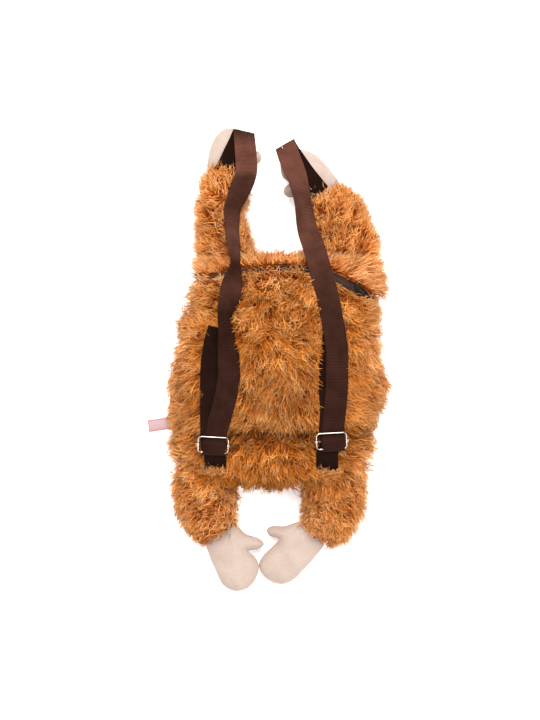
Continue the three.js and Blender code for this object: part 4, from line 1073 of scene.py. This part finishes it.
def add_webbing(name, node, side, rows, start=0.0):
    """Webbing along a route; start is how far along the webbing's painted light and shade it begins."""
    middle, across, out = stations(rows, WEBBING_SPAN)
    way = np.concatenate([[0.0], np.cumsum(np.linalg.norm(np.diff(middle, axis=0), axis=1))])

    def place(share, along):
        row = np.rint(along * (len(middle) - 1)).astype(int)
        crown = WEBBING_CROWN * (1 - (2 * share - 1) ** 2)
        points = middle[row] + across[row] * ((share - 0.5) * WEBBING_WIDTH)[:, None]
        points = points + out[row] * crown[:, None]
        return points, np.column_stack([share * WEBBING_WIDTH, start + way[row]])

    bm = grid_sheet(WEBBING_COLUMNS, len(middle) - 1, place)
    piece = new_piece(name, mesh_of(name, bm), WEBBING[side], [node])
    add_wall(piece, WEBBING_THICK, 0.0)
    edge = piece.modifiers.new("edge_round", "BEVEL")
    edge.width = WEBBING_EDGE * MM
    edge.segments = WEBBING_EDGE_STEPS
    edge.limit_method = "ANGLE"


for side, route in ROUTES.items():
    add_webbing(f"strap_{side}_webbing", f"strap_{side}", side, route)
# The anchors begin past the end of the webbing's painted light and shade, so they take its darkest painted
# shade
for side, anchor in ANCHORS.items():
    add_webbing(
        f"anchor_{side}_webbing", f"strap_anchor_{side}", side, anchor, WEBBING_LONGEST)


# Wire buckles

WIRE_SIDES = 18
WIRE_BENDS = 8
WIRE_WELD = 0.01
WRAP_SIDES = 10
WRAP_RADIUS = 0.9
WRAP_REACH = WIRE_RADIUS + WRAP_RADIUS
WRAP_PITCH = 1.6
WRAP_WELD = 0.005


def grown(bm, edges, step):
    """Extrude a ring of edges by a step, and give the new ring."""
    made = bmesh.ops.extrude_edge_only(bm, edges=edges)["geom"]
    ends = {part for part in made if isinstance(part, bmesh.types.BMVert)}
    bmesh.ops.translate(bm, verts=list(ends), vec=step)
    return [part for part in made
            if isinstance(part, bmesh.types.BMEdge) and all(vert in ends for vert in part.verts)]


def add_wire(name, node, buckle, bm, weld):
    """Weld wire that is bent in a buckle's own frame, and put it in its place."""
    bmesh.ops.remove_doubles(bm, verts=bm.verts, dist=weld)
    bmesh.ops.recalc_face_normals(bm, faces=bm.faces)
    bmesh.ops.transform(bm, matrix=buckle_matrix(buckle), verts=bm.verts)
    new_piece(name, mesh_of(name, bm), NICKEL, [node])


def add_buckle_frame(name, node, buckle):
    """Round wire bent to a frame with four rounded corners."""
    bm = bmesh.new()
    reach_x, reach_y = WIRE_HALF[0] - WIRE_CORNER, WIRE_HALF[1] - WIRE_CORNER
    start = Matrix.Translation((-reach_x, WIRE_HALF[1], 0)) @ Matrix.Rotation(math.pi / 2, 4, "Y")
    bmesh.ops.create_circle(bm, segments=WIRE_SIDES, radius=WIRE_RADIUS, matrix=start)
    ring = bm.edges[:]
    runs = [((2 * reach_x, 0, 0), (reach_x, reach_y, 0)), ((0, -2 * reach_y, 0), (reach_x, -reach_y, 0)),
            ((-2 * reach_x, 0, 0), (-reach_x, -reach_y, 0)), ((0, 2 * reach_y, 0), (-reach_x, reach_y, 0))]
    for straight, corner in runs:
        ring = grown(bm, ring, straight)
        bend = bmesh.ops.spin(bm, geom=ring, cent=corner, axis=(0, 0, -1),
                              angle=math.pi / 2, steps=WIRE_BENDS)
        ring = [part for part in bend["geom_last"] if isinstance(part, bmesh.types.BMEdge)]
    add_wire(name, node, buckle, bm, WIRE_WELD)


def add_buckle_bar(name, node, buckle):
    """Middle bar whose ends are wound round the frame's sides."""
    bm = bmesh.new()
    lie = Matrix.Rotation(math.pi / 2, 4, "Y")
    bmesh.ops.create_cone(bm, cap_ends=True, segments=WIRE_SIDES, radius1=BAR_RADIUS, radius2=BAR_RADIUS,
                          depth=2 * (WIRE_HALF[0] - WIRE_RADIUS), matrix=lie)
    for side in (-1, 1):
        for turn in (-0.5, 0.5):
            centre = Vector((side * WIRE_HALF[0], turn * WRAP_PITCH, 0))
            place = Matrix.Translation(centre + Vector((WRAP_REACH, 0, 0)))
            made = bmesh.ops.create_circle(bm, segments=WRAP_SIDES, radius=WRAP_RADIUS, matrix=place)
            ring = list({edge for vert in made["verts"] for edge in vert.link_edges})
            bmesh.ops.spin(bm, geom=ring, cent=centre, axis=(0, 1, 0), angle=2 * math.pi,
                           steps=WIRE_SIDES, use_merge=True)
    add_wire(name, node, buckle, bm, WRAP_WELD)


for side, buckle in BUCKLES.items():
    add_buckle_frame(f"buckle_{side}_wire", f"buckle_{side}", buckle)
    add_buckle_bar(f"buckle_{side}_wound_bar", f"buckle_bar_{side}", buckle)


# Zip across the upper back

ZIP_STEP = 0.004
ZIP_END = 0.97
ZIP_LENGTH = 225.0
ZIP_TAPE_DEPTH = 2.2
ZIP_TAPE_THICK = 1.2
ZIP_TAPE_SHARE = 0.96
ZIP_TAPE_WIDTH = 8.0
ZIP_TAPE_GRID = (8, 120)
ZIP_COIL_DEPTH = 1.0
ZIP_COIL_START = 0.01  # the coil starts this far inside the tape's end
ZIP_COIL_STOP = 0.03  # and stops this far short of the slider
ZIP_TEETH = 150
ZIP_TOOTH = (0.62, 1.7, 0.75)
ZIP_TOOTH_REACH = 0.75
ZIP_TOOTH_BALL = dict(u_segments=8, v_segments=6, radius=1)
ZIP_SLIDER_AT = 0.9
# Slider: body, bridge, pull and the two sides of the pull's ring; columns: size, place, rounding
SLIDER_BLOCKS = [
    ((8.0, 12.0, 1.5), (0, 0, 1.2), 0.6),
    ((2.6, 9.0, 1.1), (0, 0, 2.7), 0.4),
    ((7.0, 18.0, 1.4), (0, 15.5, 3.0), 0.5),
    ((1.3, 5.0, 1.3), (-2.0, 5.8, 2.9), 0.5),
    ((1.3, 5.0, 1.3), (2.0, 5.8, 2.9), 0.5),
]
SLIDER_ROUNDING = 3


def zip_frame(u, depth):
    """Places on the zip's line with their directions along the line, across it and out of the bag."""
    spot = bag_point(u, zip_line(u), "back", depth)
    ahead = bag_point(u + ZIP_STEP, zip_line(u + ZIP_STEP), "back", depth)
    along = unit(ahead - spot)
    out, _ = bag_normal(u, zip_line(u), "back")
    across = unit(np.cross(out, along))
    return spot, along, across, unit(np.cross(along, across))


def add_zip_tape():
    def place(share, along):
        u = (2 * along - 1) * ZIP_END
        v = zip_line(u) + (2 * share - 1) * zip_slot(u) * ZIP_TAPE_SHARE
        points = bag_point(u, v, "back", ZIP_TAPE_DEPTH)
        return points, np.column_stack([share * ZIP_TAPE_WIDTH, along * ZIP_LENGTH])

    bm = grid_sheet(*ZIP_TAPE_GRID, place)
    bmesh.ops.recalc_face_normals(bm, faces=bm.faces)
    piece = new_piece("zip_tape_cloth", mesh_of("zip_tape_cloth", bm), ZIP_TAPE, ["zip_tape"])
    add_wall(piece, ZIP_TAPE_THICK, -1.0)


def add_zip_coil():
    """Two interlocked rows of coil turns, joined in one mesh."""
    bm = bmesh.new()
    run = np.linspace(-ZIP_END + ZIP_COIL_START, ZIP_SLIDER_AT - ZIP_COIL_STOP, ZIP_TEETH)
    for tooth, (spot, along, across, out) in enumerate(zip(*zip_frame(run, ZIP_COIL_DEPTH))):
        row = 1 if tooth % 2 else -1
        matrix = Matrix((along, across, out)).transposed().to_4x4()
        matrix.translation = spot + across * row * ZIP_TOOTH_REACH
        matrix = matrix @ Matrix.Diagonal((*ZIP_TOOTH, 1.0))
        bmesh.ops.create_uvsphere(bm, matrix=matrix, **ZIP_TOOTH_BALL)
    new_piece("zip_coil_turns", mesh_of("zip_coil_turns", bm), NYLON, ["zip_coil"])


def add_zip_slider():
    """Slider body with a bridge on top and a flat pull laid back along the zip."""
    bm = bmesh.new()
    spot, along, across, out = (part[0] for part in zip_frame(np.array([ZIP_SLIDER_AT]), 0.0))
    matrix = Matrix((across, -along, out)).transposed().to_4x4()
    matrix.translation = spot
    for size, place, rounding in SLIDER_BLOCKS:
        block = matrix @ Matrix.Translation(place) @ Matrix.Diagonal((*size, 1.0))
        cube = bmesh.ops.create_cube(bm, size=1, matrix=block)
        edges = list({edge for vert in cube["verts"] for edge in vert.link_edges})
        bmesh.ops.bevel(bm, geom=edges, offset=rounding, affect="EDGES", segments=SLIDER_ROUNDING,
                        profile=0.5, material=-1)
    mesh = mesh_of("zip_slider_pull", bm)
    new_piece("zip_slider_pull", mesh, ZIP_METAL, ["zip_slider"])


add_zip_tape()
add_zip_coil()
add_zip_slider()


# Side label and sewing

LABEL_LENGTH = LABEL_ROOT - LABEL_TIP
LABEL_CURL = 1.5
LABEL_THICK = 0.5
LABEL_GRID = (16, 24)
STITCH = (0.32, 2.5, 0.35, 1.0)
STITCH_BALL = dict(u_segments=12, v_segments=8, radius=1)
STITCH_SIDE = -4.0
STITCH_LIE = 0.75
STITCH_UP = (-0.4, 1.4, -0.4)  # towards the fingertips


def add_label():
    """Bare satin label that stands out of the side seam and droops a little."""
    lean = unit(np.array([-LABEL_SLANT, LABEL_LENGTH])) * LABEL_WIDTH

    def place(share, along):
        x = LABEL_ROOT + (LABEL_TIP - LABEL_ROOT) * along + lean[0] * (share - 0.5)
        y = LABEL_Y - LABEL_SLANT * along + lean[1] * (share - 0.5)
        curl = LABEL_CURL * np.sin(math.pi * share) * along
        z = SEAM_HEIGHT + curl - LABEL_DROOP * along**2
        return np.column_stack([x, y, z]), np.column_stack([share * LABEL_WIDTH, along * LABEL_LENGTH])

    bm = grid_sheet(*LABEL_GRID, place)
    bmesh.ops.recalc_face_normals(bm, faces=bm.faces)
    mesh = mesh_of("side_label_satin", bm)
    piece = new_piece("side_label_satin", mesh, SATIN, ["side_label"])
    add_wall(piece, LABEL_THICK, 0.0)


def add_stitch(name, rows, at):
    """Pale thread across the fold where webbing is sewn to the fingertips."""
    middle, across, out = (part[at * WEBBING_SPAN] for part in stations(rows, WEBBING_SPAN))
    matrix = Matrix((across, np.cross(across, out), out)).transposed().to_4x4()
    matrix.translation = middle + across * STITCH_SIDE + out * STITCH_LIE + np.array(STITCH_UP)
    bm = bmesh.new()
    bmesh.ops.create_uvsphere(bm, matrix=matrix @ Matrix.Diagonal(STITCH), **STITCH_BALL)
    bmesh.ops.recalc_face_normals(bm, faces=bm.faces)
    new_piece(name, mesh_of(name, bm), THREAD)


add_label()
add_stitch("strap_right_stitch", STRAP_RIGHT, FOLD_ROW)


# Studio: pale floor, soft light and a camera straight above

FLOOR_RADIUS = 4000.0
FLOOR_SIDES = 96
FLOOR_GLOW = 0.45  # a lit table, so that the shadows stay pale
LIGHT_AIM = Vector((0, 0, 0.05))
LIGHT_COLOUR = (1.0, 0.985, 0.96)
SKY_STRENGTH = 1.0
CLIP_START = 0.01


def add_floor():
    bm = bmesh.new()
    bmesh.ops.create_circle(bm, cap_ends=True, segments=FLOOR_SIDES, radius=FLOOR_RADIUS)
    floor = bpy.data.objects.new("floor", mesh_of("floor", bm))
    bpy.context.collection.objects.link(floor)
    floor.data.materials.append(mottled_finish(
        "pale_floor", {"Roughness": 0.75, "Specular IOR Level": 0.2,
                       "Emission Color": (1.0, 1.0, 1.0, 1.0), "Emission Strength": FLOOR_GLOW},
        dict(scale=3.0, detail=2.0), (0.3, (249, 249, 249)), (0.7, (251, 251, 251))))


def add_light(name, place, size, power):
    light = bpy.data.lights.new(name, "AREA")
    light.shape = "DISK"
    light.size = size
    light.energy = power
    light.color = LIGHT_COLOUR
    lamp = bpy.data.objects.new(name, light)
    lamp.location = place
    lamp.rotation_euler = (LIGHT_AIM - Vector(place)).to_track_quat("-Z", "Y").to_euler()
    bpy.context.collection.objects.link(lamp)


def add_sky():
    """Bright walls all round under a dimmer ceiling, so that level cloth mirrors little."""
    sky = bpy.data.worlds.new("soft_sky")
    sky.use_nodes = True
    tree = sky.node_tree
    way = add_node(tree, "ShaderNodeTexCoord").outputs["Generated"]
    height = add_node(tree, "ShaderNodeSeparateXYZ", None, {"Vector": way}).outputs["Z"]
    colours = colour_steps(tree, height, (0.55, (1.0, 1.0, 1.0, 1.0)), (0.9, (0.3, 0.3, 0.3, 1.0)))
    tree.links.new(colours, tree.nodes["Background"].inputs["Color"])
    tree.nodes["Background"].inputs["Strength"].default_value = SKY_STRENGTH
    bpy.context.scene.world = sky


def add_camera():
    camera = bpy.data.cameras.new("camera")
    camera.sensor_width = SENSOR
    camera.lens = SENSOR * (CAMERA_HEIGHT - SHARP_HEIGHT) / FRAME_HIGH
    camera.clip_start = CLIP_START
    placed = bpy.data.objects.new("camera", camera)
    placed.location = (0, 0, CAMERA_HEIGHT * MM)
    bpy.context.collection.objects.link(placed)
    bpy.context.scene.camera = placed


add_floor()
add_light("key_light", (-0.2, 1.7, 3.6), size=2.4, power=225.0)
add_light("fill_light", (1.4, -1.8, 2.6), size=2.0, power=62.0)
add_camera()
add_sky()
bpy.context.scene.view_settings.view_transform = "Standard"

bpy.context.view_layer.update()
